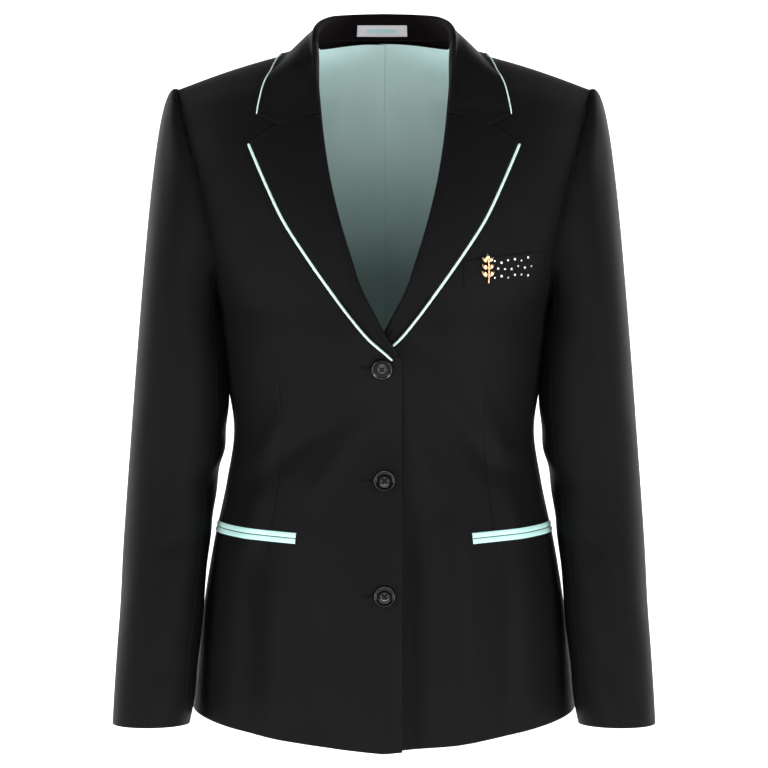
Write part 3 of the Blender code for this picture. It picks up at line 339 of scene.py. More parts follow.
# Stones on the welt: share of its length, height off its middle line, radius
STONES = tuple((0.37 + 0.082 * column + 0.041 * (row % 2),
                7.0 * row - 6.5 + 1.2 * math.sin(column * 2.3 + row),
                0.95 + 0.3 * ((column + row) % 2)) for column in range(6) for row in range(3))

# Buttons
BUTTON_PLACES = ((-1.8, -294.0, 1.2), (0.4, -396.3, 0.5), (0.5, -500.0, 0.5))  # x, z, air behind
# Profile of a button from the middle of its face round the rim to its back: radius, height
BUTTON_PROFILE = ((0.0, 2.3), (2.6, 2.45), (3.9, 2.4), (4.7, 2.1), (5.6, 1.75), (6.8, 1.7),
                  (7.6, 2.0), (8.2, 2.75), (8.6, 3.2), (8.95, 3.4), (9.3, 3.25), (9.65, 2.8),
                  (9.9, 2.2), (10.0, 1.7), (9.8, 1.0), (9.2, 0.4), (8.2, 0.0), (0.0, 0.0))
HOLE_RADIUS = 0.95
HOLE_SPREAD = 2.2
KEYHOLE_LENGTH = 10.5
THREAD_RADIUS = 0.3
PAINTED_RIM_HIGHLIGHT = (7.9, 9.1)  # radii between which the rim's crest gets a painted highlight
PAINTED_BOSS_HIGHLIGHT = 4.3  # and the middle boss gets a painted highlight within this

# Label in the back of the neck
LABEL_WIDTH = 48.0
LABEL_SHIFT = -1.9  # how far off the centre it lies
LABEL_FROM = 0.16  # it runs between these shares of the stand's height
LABEL_HIGH = 0.60
LABEL_TOP_COLUMN = 15  # the collar's column that a share of 1 stands for
LABEL_THICK = 0.6
LABEL_BLOCK = (("Y", LABEL_WIDTH / 2, 15.0), ("X", 5.0, 2.0))  # across, up: middle, half size

# Lining
LINING_AIR = 1.0
LINING_AIR_TOP = 3.2  # more air where the shoulders turn
LINING_TOP_FROM = 0.8  # which starts at this place up the back and is full this far on
LINING_TOP_GROWS = 0.15
SHOULDER_FADE = 0.2  # and ends over this share of the width, about the neck point
LINING_SIDE = 0.1  # share of the back that it stops short of the side seam by
LINING_PLEAT = 1.2  # the right half's pleat ends this far past the centre
LINING_UNDER = -5.0  # the left half runs on under the pleat to this x
PLEAT_LIFT = 2.9
PLEAT_WIDTH = 24.0

# Soft vertical folds of the lining, as the fronts' folds are given
LINING_FOLDS = (
    (-34, -60, -30, -330, 9, 1.0),
    (-58, -40, -62, -300, 10, 0.8),
    (22, -50, 26, -340, 7, 0.9),
    (48, -60, 44, -300, 10, 0.9),
)

# Studio, in metres
CAMERA_AWAY = 2.8
CAMERA_HEIGHT = -0.3083
SENSOR = 36.0  # millimetres
VIEW_WIDTH = 0.94 * 0.768  # across the picture at the middle of the jacket
FLOOR_Z = -1.05
FLOOR_FRONT = 4.0
FLOOR_SIDE = 7.0
FLOOR_TOP = 6.0
FLOOR_BACK = 1.2
SWEEP = 1.5
SWEEP_POINTS = 16
WORLD_STRENGTH = 0.12
LAMPS = (  # name, place, what it faces, size, watts
    ("front_right", (-2.4, -1.95, -0.25), (0.0, 0.0, -0.35), (1.2, 1.4), 47.0),
    ("front_left", (2.4, -1.95, -0.25), (0.0, 0.0, -0.35), (1.2, 1.4), 52.0),
    ("low", (0.0, -2.2, -0.84), (0.0, 0.0, -0.15), (2.2, 0.4), 22.0),
    ("backdrop_right", (2.4, 1.4, 1.2), (0.6, 2.7, -0.3), (1.6, 1.6), 118.0),
    ("backdrop_left", (-2.4, 1.4, 1.2), (-0.6, 2.7, -0.3), (1.6, 1.6), 118.0),
)


def ease(value):
    """0 below 0, 1 above 1, smooth between."""
    value = np.clip(value, 0.0, 1.0)
    return value * value * (3.0 - 2.0 * value)


def array_of(values):
    return np.atleast_1d(np.asarray(values, float))


def running(steps):
    """Lengths up to each point of a line, from its steps."""
    return np.concatenate([[0.0], np.cumsum(steps)])


def unit(vectors):
    return vectors / np.maximum(np.linalg.norm(vectors, axis=-1, keepdims=True), 1e-12)


def columns(table, names, *wanted):
    """The wanted columns of a table, one row for each row of it."""
    return np.array(table, float)[:, [names.index(name) for name in wanted]]


def points_of(table, names, point):
    """The x, y and z columns of one of a table's points."""
    return columns(table, names, *(point + axis for axis in ("_x", "_y", "_z")))


def bezier(t, start, first, second, end):
    """A curve that leaves start towards first and comes to end from second."""
    return (start * (1 - t) ** 3 + 3 * first * t * (1 - t) ** 2
            + 3 * second * t ** 2 * (1 - t) + end * t ** 3)


def slopes_of(knots, values):
    """Slopes of the smooth curve through values at the knots."""
    steps = np.diff(knots).reshape((-1,) + (1,) * (values.ndim - 1))
    chords = np.diff(values, axis=0) / steps
    inner = (chords[:-1] * steps[1:] + chords[1:] * steps[:-1]) / (steps[1:] + steps[:-1])
    return np.concatenate([chords[:1], inner, chords[-1:]])


def place_in(knots, at):
    """The cell of the knots that each place is in, how far along it, and its width."""
    at = np.clip(at, knots[0], knots[-1])
    cell = np.clip(np.searchsorted(knots, at, side="right") - 1, 0, len(knots) - 2)
    width = knots[cell + 1] - knots[cell]
    return cell, ((at - knots[cell]) / width)[:, None], width[:, None]


def blend(t, width, low, high, low_slope, high_slope):
    """A cubic from low to high with the slopes given."""
    return ((2 * t ** 3 - 3 * t ** 2 + 1) * low + (t ** 3 - 2 * t ** 2 + t) * width * low_slope
            + (3 * t ** 2 - 2 * t ** 3) * high + (t ** 3 - t ** 2) * width * high_slope)


def read_curve(knots, values, at):
    """A table's values on a smooth curve, one row for each place in at."""
    cell, t, width = place_in(knots, array_of(at))
    slopes = slopes_of(knots, values)
    return blend(t, width, values[cell], values[cell + 1], slopes[cell], slopes[cell + 1])


def read_line(table, height):
    """Distance from the centre of a line given as (height, distance) rows."""
    table = np.asarray(table, float)
    return np.interp(height, table[:, 0], table[:, 1])


def ridges(x, z, folds):
    """Height of the soft folds at (x, z)."""
    total = np.zeros_like(x)
    for x0, z0, x1, z1, wide, high in folds:
        length = math.hypot(x1 - x0, z1 - z0)
        ux = (x1 - x0) / length
        uz = (z1 - z0) / length
        along = ((x - x0) * ux + (z - z0) * uz) / length
        off = (z - z0) * ux - (x - x0) * uz
        fade = ease(along / FOLD_ENDS) * ease((1.0 - along) / FOLD_ENDS + HEM_FOLD * (z1 < HEM_Z))
        total += high * np.exp(-(off / wide) ** 2) * fade
    return total


def lap_inset(x, z):
    """How far the front underneath lies in, near the centre."""
    near_break = np.exp(-((z - BREAK_Z) / BREAK_SPREAD) ** 2)
    depth = LAP_INSET + (LAP_AT_BREAK - LAP_INSET) * near_break
    fade = 1.0 - ease((x - LAP_FADE_FROM) / (LAP_FADE_TO - LAP_FADE_FROM))
    return depth * fade * ease((LAP_TOP - z) / LAP_GROWS)


PANELS = {
    "front_right": {"rows": FRONT_ROWS, "neck": FRONT_PIT, "folds": RIGHT_FRONT_FOLDS, "facing": -1,
                    "under": False},
    "front_left": {"rows": FRONT_ROWS, "neck": FRONT_PIT, "folds": LEFT_FRONT_FOLDS, "facing": -1,
                   "under": True},
    "back": {"rows": BACK_ROWS, "neck": NAPE, "folds": BACK_FOLDS, "facing": 1, "under": False},
}


def top_row(share, neck):
    """Shoulder seam, then the neckline to the centre."""
    tip = np.array(SHOULDER_TIP)
    point = np.array(NECK_POINT)
    along = np.clip(share / NECK_AT, 0.0, 1.0)[:, None]
    seam = tip + (point - tip) * along
    seam[:, 2] += SHOULDER_SPRING * np.sin(math.pi * along[:, 0])
    turn = np.clip((share - NECK_AT) / (1.0 - NECK_AT), 0.0, 1.0) * math.pi / 2
    neck_y, neck_z = neck
    line = np.stack([point[0] * np.cos(turn), point[1] + (neck_y - point[1]) * np.sin(turn),
                     point[2] + (neck_z - point[2]) * np.sin(turn) ** 2], axis=1)
    return np.where(share[:, None] <= NECK_AT, seam, line)


def body(panel, share, at):
    """Points of a panel's outer face: share 0 at the side to 1 at the centre, at 0 hem to 1 top."""
    piece = PANELS[panel]
    share, at = np.broadcast_arrays(array_of(share), array_of(at))
    past = share > 1.0
    s = np.where(past, 2.0 - share, share)
    side, corner, centre = (points_of(piece["rows"], ROW_COLUMNS, point)[:, None]
                            for point in ("side", "corner", "centre"))
    rows = bezier(s[None, :, None], side, side + (corner - side) * ROUND,
                  centre + (corner - centre) * ROUND, centre)
    rows = np.concatenate([rows, top_row(s, piece["neck"])[None]])
    knots = np.append(columns(piece["rows"], ROW_COLUMNS, "at")[:, 0], 1.0)
    slopes = slopes_of(knots, rows)
    slopes[-1, :, 2] *= SEAM_LEVEL + (1.0 - SEAM_LEVEL) * ease((s - NECK_AT) / (1.0 - NECK_AT))
    cell, t, width = place_in(knots, at)
    each = np.arange(len(s))
    points = blend(t, width, rows[cell, each], rows[cell + 1, each], slopes[cell, each],
                   slopes[cell + 1, each])
    points[:, 0] = np.where(past, -points[:, 0], points[:, 0])
    swell = ridges(points[:, 0], points[:, 2], piece["folds"]) * ease(s / FOLD_STARTS)
    points[:, 1] += piece["facing"] * swell
    if piece["under"]:
        points[:, 1] += lap_inset(points[:, 0], points[:, 2])
    return points


def outward(panel, share, at):
    """Unit normals of a panel's outer face."""
    small = NORMAL_STEP
    low = np.clip(at - small, 0.0, 1.0 - 2 * small)
    across = body(panel, share + small, at) - body(panel, np.maximum(share - small, 0.0), at)
    up = body(panel, share, low + 2 * small) - body(panel, share, low)
    return unit(np.cross(across, up)) * PANELS[panel]["facing"]


def find(panel, x, z):
    """Where on a panel the point seen at (x, z) lies: its share and its place up the panel."""
    x, z = array_of(x), array_of(z)
    shares, ats = np.meshgrid(np.linspace(0.0, PAST_CENTRE, SEARCH_CELLS[0]),
                              np.linspace(0.0, 1.0, SEARCH_CELLS[1]))
    known = body(panel, shares.ravel(), ats.ravel())
    apart = (known[:, 0][None] - x[:, None]) ** 2 + (known[:, 2][None] - z[:, None]) ** 2
    nearest = np.argmin(apart, axis=1)
    share = shares.ravel()[nearest]
    at = ats.ravel()[nearest]
    small = SEARCH_STEP
    for _ in range(SEARCH_ROUNDS):
        here = body(panel, share, at)
        by_share = (body(panel, share + small, at) - here) / small
        step = np.where(at > 0.99, -small, small)
        by_at = (body(panel, share, at + step) - here) / step[:, None]
        miss_x = x - here[:, 0]
        miss_z = z - here[:, 2]
        area = by_share[:, 0] * by_at[:, 2] - by_at[:, 0] * by_share[:, 2]
        area = np.where(np.abs(area) < 1e-6, 1e-6, area)
        share_step = (miss_x * by_at[:, 2] - by_at[:, 0] * miss_z) / area
        at_step = (by_share[:, 0] * miss_z - by_share[:, 2] * miss_x) / area
        share = np.clip(share + np.clip(share_step, -SEARCH_LIMIT, SEARCH_LIMIT), 0.0, PAST_CENTRE)
        at = np.clip(at + np.clip(at_step, -SEARCH_LIMIT, SEARCH_LIMIT), 0.0, 1.0)
    return share, at


def on_front(panel, x, z, height):
    """Points seen at (x, z) on a panel, moved out by height."""
    share, at = find(panel, x, z)
    return body(panel, share, at) + outward(panel, share, at) * np.reshape(height, (-1, 1))


def share_at(panel, at, limit):
    """Share at which each row reaches the line limit(height)."""
    low = np.zeros_like(at)
    high = np.full_like(at, PAST_CENTRE)
    for _ in range(HALVINGS):
        middle = (low + high) / 2
        here = body(panel, middle, at)
        outside = here[:, 0] > limit(here[:, 2])
        low = np.where(outside, middle, low)
        high = np.where(outside, high, middle)
    return (low + high) / 2


def rest_on(tree, points, clearance):
    """Moves out the points that are nearer to the body than clearance."""
    moved = []
    for point in points:
        place, normal, _, _ = tree.find_nearest(Vector(point))
        gap = (Vector(point) - place).dot(normal)
        moved.append(tuple(place + normal * clearance) if gap < clearance else tuple(point))
    return np.array(moved)


def mirrored(grid, sign):
    return grid * np.array([sign, 1.0, 1.0])


def grid_of(surface, across, along):
    """A grid of a surface's points, from their two places in it broadcast together."""
    across, along = np.broadcast_arrays(across, along)
    return surface(across.ravel(), along.ravel()).reshape(across.shape + (3,))


def ring(angle, height):
    """Point of the sleeve at an angle from the outside of the arm, in degrees, at a height."""
    heights = columns(SLEEVE_RINGS, RING_COLUMNS, "z")[:, 0]
    sizes = columns(SLEEVE_RINGS, RING_COLUMNS, "x", "y", "half_width", "half_depth")
    values = read_curve(heights, sizes, height)
    turn = np.radians(angle)
    points = np.stack([values[:, 0] + values[:, 2] * np.cos(turn),
                       values[:, 1] - values[:, 3] * np.sin(turn),
                       np.asarray(height, float)], axis=1)
    out = unit(np.stack([np.cos(turn) / values[:, 2], -np.sin(turn) / values[:, 3], 0 * turn],
                        axis=1))
    for fold_angle, fold_z, wide, tall, deep in SLEEVE_FOLDS:
        apart = (np.asarray(angle) - fold_angle + 180.0) % 360.0 - 180.0
        lean = height - fold_z - FOLD_LEAN * apart
        points += out * (deep * np.exp(-(apart / wide) ** 2 - (lean / tall) ** 2))[:, None]
    return points


def armhole(angle):
    """Point of the armhole seam that the sleeve's line at this angle runs to."""
    angle = np.asarray(angle, float) % 360.0
    up = np.abs(angle - 180.0) / 180.0
    at = UNDERARM_AT + (1.0 - UNDERARM_AT) * up
    front = body("front_right", np.zeros_like(at), at)
    back = body("back", np.zeros_like(at), at)
    return np.where((angle < 180.0)[:, None], front, back)


def sleeve_point(angle, along):
    """A point of the sleeve: along 0 at the cuff, 1 where the cap starts, 2 at the armhole."""
    angle = np.asarray(angle, float)
    low = SLEEVE_RINGS[0][0]
    high = SLEEVE_RINGS[-1][0]
    tube = ring(angle, low + (high - low) * np.clip(along, 0.0, 1.0))
    start = ring(angle, np.full_like(angle, high))
    slope = start - ring(angle, np.full_like(angle, high - RING_STEP))
    slope = slope / slope[:, 2:3]
    turn = np.radians(angle)
    end = armhole(angle)
    outer = (1.0 + np.cos(turn)) / 2.0
    reach = UNDERARM_REACH + (CAP_REACH - UNDERARM_REACH) * outer
    away = unit(np.stack([np.full_like(turn, CAP_OUTWARD), -CAP_FORWARD * np.sin(turn),
                          CAP_RISE * np.cos(turn)], axis=1))
    end = end + away * ARMHOLE_SEAM
    lift = (end[:, 2] - high) * (CAP_START + CAP_START_OUTER * outer)
    first = start + slope * lift[:, None]
    second = end + away * reach[:, None]
    cap = bezier(np.clip(along - 1.0, 0.0, 1.0)[:, None], start, first, second, end)
    return np.where((along <= 1.0)[:, None], tube, cap)


def peak(share, top):
    """A bent line: 0 at both ends, 1 at top."""
    return np.where(share < top, share / top, (1.0 - share) / (1.0 - top))


def read_smooth(table, height):
    """Distance from the centre of a rounded line given as (height, distance) rows."""
    table = np.asarray(table, float)
    return read_curve(table[:, 0], table[:, 1:], height)[:, 0]


def roll_at(height):
    return read_smooth(ROLL_LINE[1:], height)


def smooth_line(points, turn, columns_in_turn, columns_after):
    """A line rounded between its points, most of its columns before the point numbered turn."""
    points = np.asarray(points, float)
    steps = np.maximum(np.linalg.norm(np.diff(points, axis=0), axis=1), 1e-6)
    knots = running(steps)
    places = np.concatenate([np.linspace(0.0, knots[turn], columns_in_turn + 1),
                             np.linspace(knots[turn], knots[-1], columns_after + 1)[1:]])
    return read_curve(knots, points, places)


def normals_of(grid, flip):
    """Unit normals of a grid's outer face."""
    across = np.gradient(grid, axis=1)
    up = np.gradient(grid, axis=0)
    return unit(np.cross(across, up)) * (-1.0 if flip else 1.0)


def arc_lengths(grid, axis, start):
    """Length along the grid's lines from line start, the same for every line across."""
    steps = np.linalg.norm(np.diff(grid, axis=axis), axis=2).mean(axis=1 - axis)
    lengths = running(steps)
    return lengths - lengths[start]


def boundary_of(rows, cols):
    """Grid places round the edge, in order, from the first corner along the first row."""
    low = [(0, i) for i in range(cols)]
    right = [(j, cols - 1) for j in range(1, rows)]
    high = [(rows - 1, i) for i in range(cols - 2, -1, -1)]
    left = [(j, 0) for j in range(rows - 2, 0, -1)]
    return np.array(low + right + high + left)


def edge_ways(grid, edge):
    """Unit directions out of the grid at its edge places, in its own surface."""
    rows, cols = grid.shape[:2]
    j, i = edge[:, 0], edge[:, 1]
    along_j = np.where(j == 0, 1, np.where(j == rows - 1, rows - 2, j))
    along_i = np.where(i == 0, 1, np.where(i == cols - 1, cols - 2, i))
    here = grid[j, i]
    down = here - grid[along_j, i]
    side = here - grid[j, along_i]
    return unit(unit(down) * (along_j != j)[:, None] + unit(side) * (along_i != i)[:, None])


def quads(rows, cols):
    """Each cell of a grid of points, as the numbers of its four corners."""
    index = np.arange(rows * cols).reshape(rows, cols)
    corners = (index[:-1, :-1], index[:-1, 1:], index[1:, 1:], index[1:, :-1])
    return np.stack(corners, axis=-1).reshape(-1, 4)


def linked(name, data):
    """An object that holds the data, in the scene."""
    made = bpy.data.objects.new(name, data)
    bpy.context.scene.collection.objects.link(made)
    return made


def mesh_of(name, points, faces):
    mesh = bpy.data.meshes.new(name)
    mesh.from_pydata(np.asarray(points).tolist(), [], faces)
    return mesh


def build(name, points, faces, cloth, looks, zones=None):
    """A smooth mesh piece that rides on the blazer, with its cloth coordinates in millimetres."""
    mesh = mesh_of(name, np.asarray(points) * MM, faces)
    for look in looks:
        mesh.materials.append(look)
    if zones is not None:
        mesh.polygons.foreach_set("material_index", np.asarray(zones, np.int32))
    if cloth is not None:
        kept = mesh.attributes.new("cloth", "FLOAT_VECTOR", "POINT")
        kept.data.foreach_set("vector", np.asarray(cloth, np.float32).ravel())
    mesh.update()
    mesh.shade_smooth()
    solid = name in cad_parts
    piece = linked(name + "_piece" if solid else name, mesh)
    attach(piece, "root")
    if solid:
        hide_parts(name)
    return piece


def shell(name, grid, thick, looks, flip, rim=None, zones=None, start=0, raised=None):
    """A cloth wall with round edges. The grid is its outer face, zones each outer cell's look."""
    grid = np.array(grid, float)
    rows, cols = grid.shape[:2]
    rim = thick / 2 if rim is None else rim
    edge = boundary_of(rows, cols)
    ways = edge_ways(grid, edge)
    ej, ei = edge[:, 0], edge[:, 1]
    grid[ej, ei] -= ways * rim
    normal = normals_of(grid, flip)
    if raised is not None:
        grid += normal * raised[:, :, None]
        normal = normals_of(grid, flip)
    lifted = normal[ej, ei]
    ways = unit(ways - lifted * np.sum(ways * lifted, axis=1, keepdims=True))
    middle = grid[ej, ei] - lifted * thick / 2
    turns = [math.pi * k / RIM_STEPS for k in range(1, RIM_STEPS)]
    round_edge = [middle + lifted * (thick / 2 * math.cos(turn)) + ways * (rim * math.sin(turn))
                  for turn in turns]
    points = np.concatenate([grid.reshape(-1, 3), (grid - normal * thick).reshape(-1, 3)]
                            + round_edge)
    outer = quads(rows, cols)
    count = rows * cols
    layers = [ej * cols + ei]
    layers += [2 * count + k * len(edge) + np.arange(len(edge)) for k in range(len(turns))]
    layers.append(layers[0] + count)
    rims = [np.stack([np.roll(near, -1), near, far, np.roll(far, -1)], axis=-1)
            for near, far in zip(layers[:-1], layers[1:])]
    faces = np.concatenate([outer, outer[:, ::-1] + count] + rims)
    if flip:
        faces = faces[:, ::-1]
    u = arc_lengths(grid, 1, start)
    v = arc_lengths(grid, 0, 0)
    flat = np.stack(np.broadcast_arrays(u[None, :], v[:, None], 0.0), axis=-1)
    cloth = np.concatenate([flat.reshape(-1, 3)] * 2 + [flat[ej, ei]] * len(turns))
    every_zone = np.zeros(len(faces), int)
    if zones is not None:
        every_zone[:len(outer)] = zones.ravel()
    piece = build(name, points, faces.tolist(), cloth, looks, every_zone)
    return piece


def hoops(path, along, reference, radius, sides):
    """Rings of points round a path, whose radius may change along it."""
    side = unit(np.cross(along, np.array(reference)))
    lift = np.cross(side, along)
    turn = np.linspace(0.0, 2 * math.pi, sides, endpoint=False)
    radius = np.reshape(radius, (-1, 1, 1))
    return path[:, None] + (side[:, None] * np.cos(turn)[None, :, None]
                            + lift[:, None] * np.sin(turn)[None, :, None]) * radius


def bands(count, sides):
    """Faces between rings of points, each ring joined to the next."""
    return [(j * sides + i, j * sides + (i + 1) % sides, (j + 1) * sides + (i + 1) % sides,
             (j + 1) * sides + i) for j in range(count - 1) for i in range(sides)]


def tube(name, path, radius, sides, look, slot, waves=0.0):
    """A round cord with domed ends along a path, a little uneven as sewn piping is."""
    path = np.asarray(path, float)
    lengths = running(np.linalg.norm(np.diff(path, axis=0), axis=1))
    along = unit(np.gradient(path, lengths, axis=0))
    reach = radius * (1.0 + waves * np.sin(lengths * 0.9) * np.sin(lengths * 0.23 + 1.0))
    reach[[0, -1]] *= TUBE_END
    rings = hoops(path, along, (0.0, -1.0, 0.0), reach, sides)
    points = np.concatenate([rings.reshape(-1, 3), path[:1] - along[:1] * radius * TUBE_DOME,
                             path[-1:] + along[-1:] * radius * TUBE_DOME])
    faces = bands(len(path), sides)
    first = len(path) * sides
    for i in range(sides):
        k = (i + 1) % sides
        faces += [(first, k, i), (first + 1, first - sides + i, first - sides + k)]
    around = np.linspace(0.0, 2 * math.pi, sides, endpoint=False) * radius
    u, v = np.broadcast_arrays(around[None, :], lengths[:, None])
    cloth = np.stack([u, v, 0 * u], axis=-1).reshape(-1, 3)
    cloth = np.concatenate([cloth, [[0.0, 0.0, 0.0], [0.0, lengths[-1], 0.0]]])
    return build(name, points, faces, cloth, [look], None)


def clear_torso():
    """The body's surface as a tree, on both sides, for pieces that lie on it."""
    across, tall = TORSO_CELLS
    shares = np.linspace(0.0, 1.0, across + 1)
    ats = np.linspace(0.0, 1.0, tall + 1)[:, None]
    cells = quads(tall + 1, across + 1)
    points = []
    faces = []
    for panel in ("front_right", "back"):
        grid = grid_of(partial(body, panel), shares, ats).reshape(-1, 3)
        for sign in (1, -1):
            order = [1, 2, 3, 0] if sign * PANELS[panel]["facing"] > 0 else [0, 3, 2, 1]
            faces += (cells[:, order] + len(points)).tolist()
            points += mirrored(grid, sign).tolist()
    return BVHTree.FromPolygons(points, faces)


def shares_with_dart(count, dart):
    """Evenly spaced shares, with a few more where a dart is."""
    close = np.array(DART_COLUMNS)
    even = np.linspace(0.0, 1.0, count + 1)
    even = even[np.abs(even - dart) > DART_CLEARS]
    return np.sort(np.concatenate([even, dart - close[1:], close + dart]))


def front(panel, sign):
    """One front, from its side seam to its edge or roll line, with its dart."""
    ats = np.linspace(0.0, 1.0, PANEL_ROWS + 1)
    dart = DARTS[panel]
    ends = share_at(panel, ats, lambda height: roll_at(height) + read_line(ROLL_CLEARS, height))
    shares = shares_with_dart(FRONT_COLUMNS, dart)
    grid = grid_of(partial(body, panel), ends[:, None] * shares, ats[:, None])
    grid[-1, :, 1] -= SEAM_AIR
    grid[ats <= UNDERARM_AT, 0, 1] -= SEAM_AIR
    apart = (shares - dart)[None, :] * FRONT_WIDTH
    reach = ease((ats - DART_FROM) / DART_OPENS) * ease((DART_TO - ats) / DART_CLOSES)
    raised = -DART_DEPTH * np.exp(-(apart / DART_WIDTH) ** 2) * reach[:, None]
    shell(panel, mirrored(grid, sign), SHELL, [suiting], sign > 0, raised=raised,
          start=-1)


def back(name, sign):
    """One half of the back, from its side seam to the centre seam."""
    ats = np.linspace(0.0, 1.0, PANEL_ROWS + 1)
    shares = np.linspace(0.0, 1.0, BACK_COLUMNS + 1)
    grid = grid_of(partial(body, "back"), shares, ats[:, None])
    grid[-1, shares <= NECK_AT, 1] += SEAM_AIR
    grid[ats <= UNDERARM_AT, 0, 1] += SEAM_AIR
    grid[:, -1, 0] = SEAM_AIR
    shell(name, mirrored(grid, sign), SHELL, [suiting], sign < 0, start=-1)


def sleeve_piece(name, sign, from_angle, to_angle, count, puckers):
    """One piece of a sleeve, between two of its lengthwise seams."""
    alongs = np.concatenate([np.linspace(0.0, 1.0, TUBE_ROWS + 1),
                             1.0 + np.linspace(0.0, 1.0, CAP_ROWS + 1)[1:]])
    angles = np.linspace(from_angle, to_angle, count + 1)
    inset = math.degrees(SEAM_AIR / SLEEVE_RADIUS)
    angles[0] += inset
    angles[-1] -= inset
    grid = grid_of(sleeve_point, angles, alongs[:, None])
    near = np.exp(-((2.0 - alongs) / PUCKER_REACH) ** 2) * (alongs > PUCKERS_FROM)
    top = np.clip(np.cos(np.radians(angles)), 0.0, 1.0) ** 0.5
    fine, broad = PUCKER_WAVES
    ripple = np.sin(np.radians(angles) * fine) * np.sin(np.radians(angles) * broad + PUCKER_SHIFT)
    raised = puckers * near[:, None] * (top * ripple)[None, :]
    shell(name, mirrored(grid, sign), SHELL, [suiting], sign > 0, raised=raised,
          start=len(angles) // 2)


def armhole_seam(name, sign):
    """The seam allowance that closes an armhole from inside, a soft roll all round it."""
    angles = np.linspace(-179.0, 179.0, SEAM_POINTS)
    path = sleeve_point(angles, np.full_like(angles, 2.0))
    inside = unit(path.mean(axis=0) - path)
    path = path + inside * (SHELL / 2 + SEAM_TAPE * 0.4)
    tube(name, mirrored(path, sign), SEAM_TAPE, 8, suiting, "suiting")


def turned_row(panel, roll_x, roll_z, edge_x, edge_z, low, under, bend):
    """Cloth that turns over the roll line and lies on the front as far as its edge."""
    across = np.array([edge_x - roll_x, edge_z - roll_z])
    width = np.linalg.norm(across)
    across = across / width
    distance = np.array([d for d, _ in TURN] + [width * share for share in FALL_SHARES])
    height = np.array([h for _, h in TURN])
    height = np.where(height > 0.0, height * low, height * under)
    settle = FALL_HEIGHTS[-1] + (np.array(FALL_HEIGHTS) - FALL_HEIGHTS[-1]) * low
    height = np.concatenate([height, settle])
    distance[:len(TURN)] *= min(1.0, width / NARROW_LAPEL)
    line = smooth_line(np.stack([distance, height], axis=1), len(TURN) - 1, TURN_COLUMNS,
                       FOLD_COLUMNS - TURN_COLUMNS)
    distance, height = line[:, 0], line[:, 1]
    x = roll_x + across[0] * distance
    z = roll_z + across[1] * distance + bend(np.clip(distance / width, 0.0, 1.0))
    return on_front(panel, x, z, height)


def lapel_lines(last):
    """Roll and edge points of the lapel's rows, from the gorge down."""
    down = np.linspace(0.0, last, LAPEL_ROWS + 1)
    roll_z = LAPEL_TOP + (ROLL_END - LAPEL_TOP) * down
    edge_z = LAPEL_POINT + (LAPEL_END - LAPEL_POINT) * down
    edge_x = read_smooth(LAPEL_EDGE, edge_z)
    along = unit(np.gradient(np.stack([edge_x, edge_z], axis=1), axis=0))
    inside = LAPEL_PIPING + PIPING_AIR
    return (down, roll_at(roll_z), roll_z, edge_x + along[:, 1] * inside,
            edge_z - along[:, 0] * inside, edge_x, edge_z)


def lapel(name, panel, sign, last):
    """One lapel, turned back on its front, and the piping in its edge."""
    lines = lapel_lines(last)
    rows = []
    for down, roll_x, roll_z, edge_x, edge_z in zip(*lines[:5]):
        low = 1.0 - (1.0 - LOW_TURN) * ease((down - LOW_TURN_FROM) / (LOW_TURN_AT - LOW_TURN_FROM))
        rise = NOTCH_RISE * (1.0 - ease(down / NOTCH_FADE))
        rows.append(turned_row(panel, roll_x, roll_z, edge_x, edge_z, low, 1.0,
                               lambda share: rise * peak(share, NOTCH_SHARE)))
    shell("lapel_" + name, mirrored(np.stack(rows), sign), FOLDED, [suiting], sign > 0,
          rim=FOLDED_RIM)
    path = on_front(panel, lines[5], lines[6], np.full(LAPEL_ROWS + 1, LAPEL_PIPING + LAID_ON))
    tube("piping_lapel_" + name, mirrored(path, sign), LAPEL_PIPING, 14, piping_satin,
         "contrast_trim", PIPING_WAVES)


def collar_row(tree, at):
    """One station of the collar: up the stand, over the fold and down the fall."""
    stations = columns(COLLAR_ROWS, COLLAR_COLUMNS, "at")[:, 0]
    neck, fold, edge = (read_curve(stations, points_of(COLLAR_ROWS, COLLAR_COLUMNS, point), at)[0]
                        for point in ("neck", "fold", "edge"))
    front = read_curve(stations, columns(COLLAR_ROWS, COLLAR_COLUMNS, "on_front"), at)[0]
    front = float(np.clip(front[0], 0.0, 1.0))
    away = unit((edge - neck) * np.array([1.0, 1.0, 0.0]))
    half = FOLD_HALF_WIDTH
    up = np.array([0.0, 0.0, 1.0])
    stand_top = fold - away * half - up * half
    fall_top = fold + away * half - up * half
    over, under = FOLD_ROUND
    row = [neck, (neck + stand_top) / 2, stand_top, fold + (-away * over - up * under) * half, fold,
           fold + (away * over - up * under) * half, fall_top]
    row += [fall_top + (edge - fall_top) * share for share in FALL_SHARES]
    row = smooth_line(row, len(TURN) - 1, TURN_COLUMNS, FOLD_COLUMNS - TURN_COLUMNS)
    if front > 0.0:
        fade = 1.0 - ease((1.0 - at) / GORGE_FADE)
        low_z = min(fold[2], COLLAR_LOW)
        laid = turned_row("front_right", float(roll_at(low_z)[0]), low_z, edge[0], edge[2], 1.0,
                          COLLAR_UNDER, lambda share: -GORGE_DIP * fade * peak(share, GORGE_SHARE))
        row = row + (laid - row) * front
    row[TURN_COLUMNS:] = rest_on(tree, row[TURN_COLUMNS:], FOLDED + FALL_AIR)
    return row


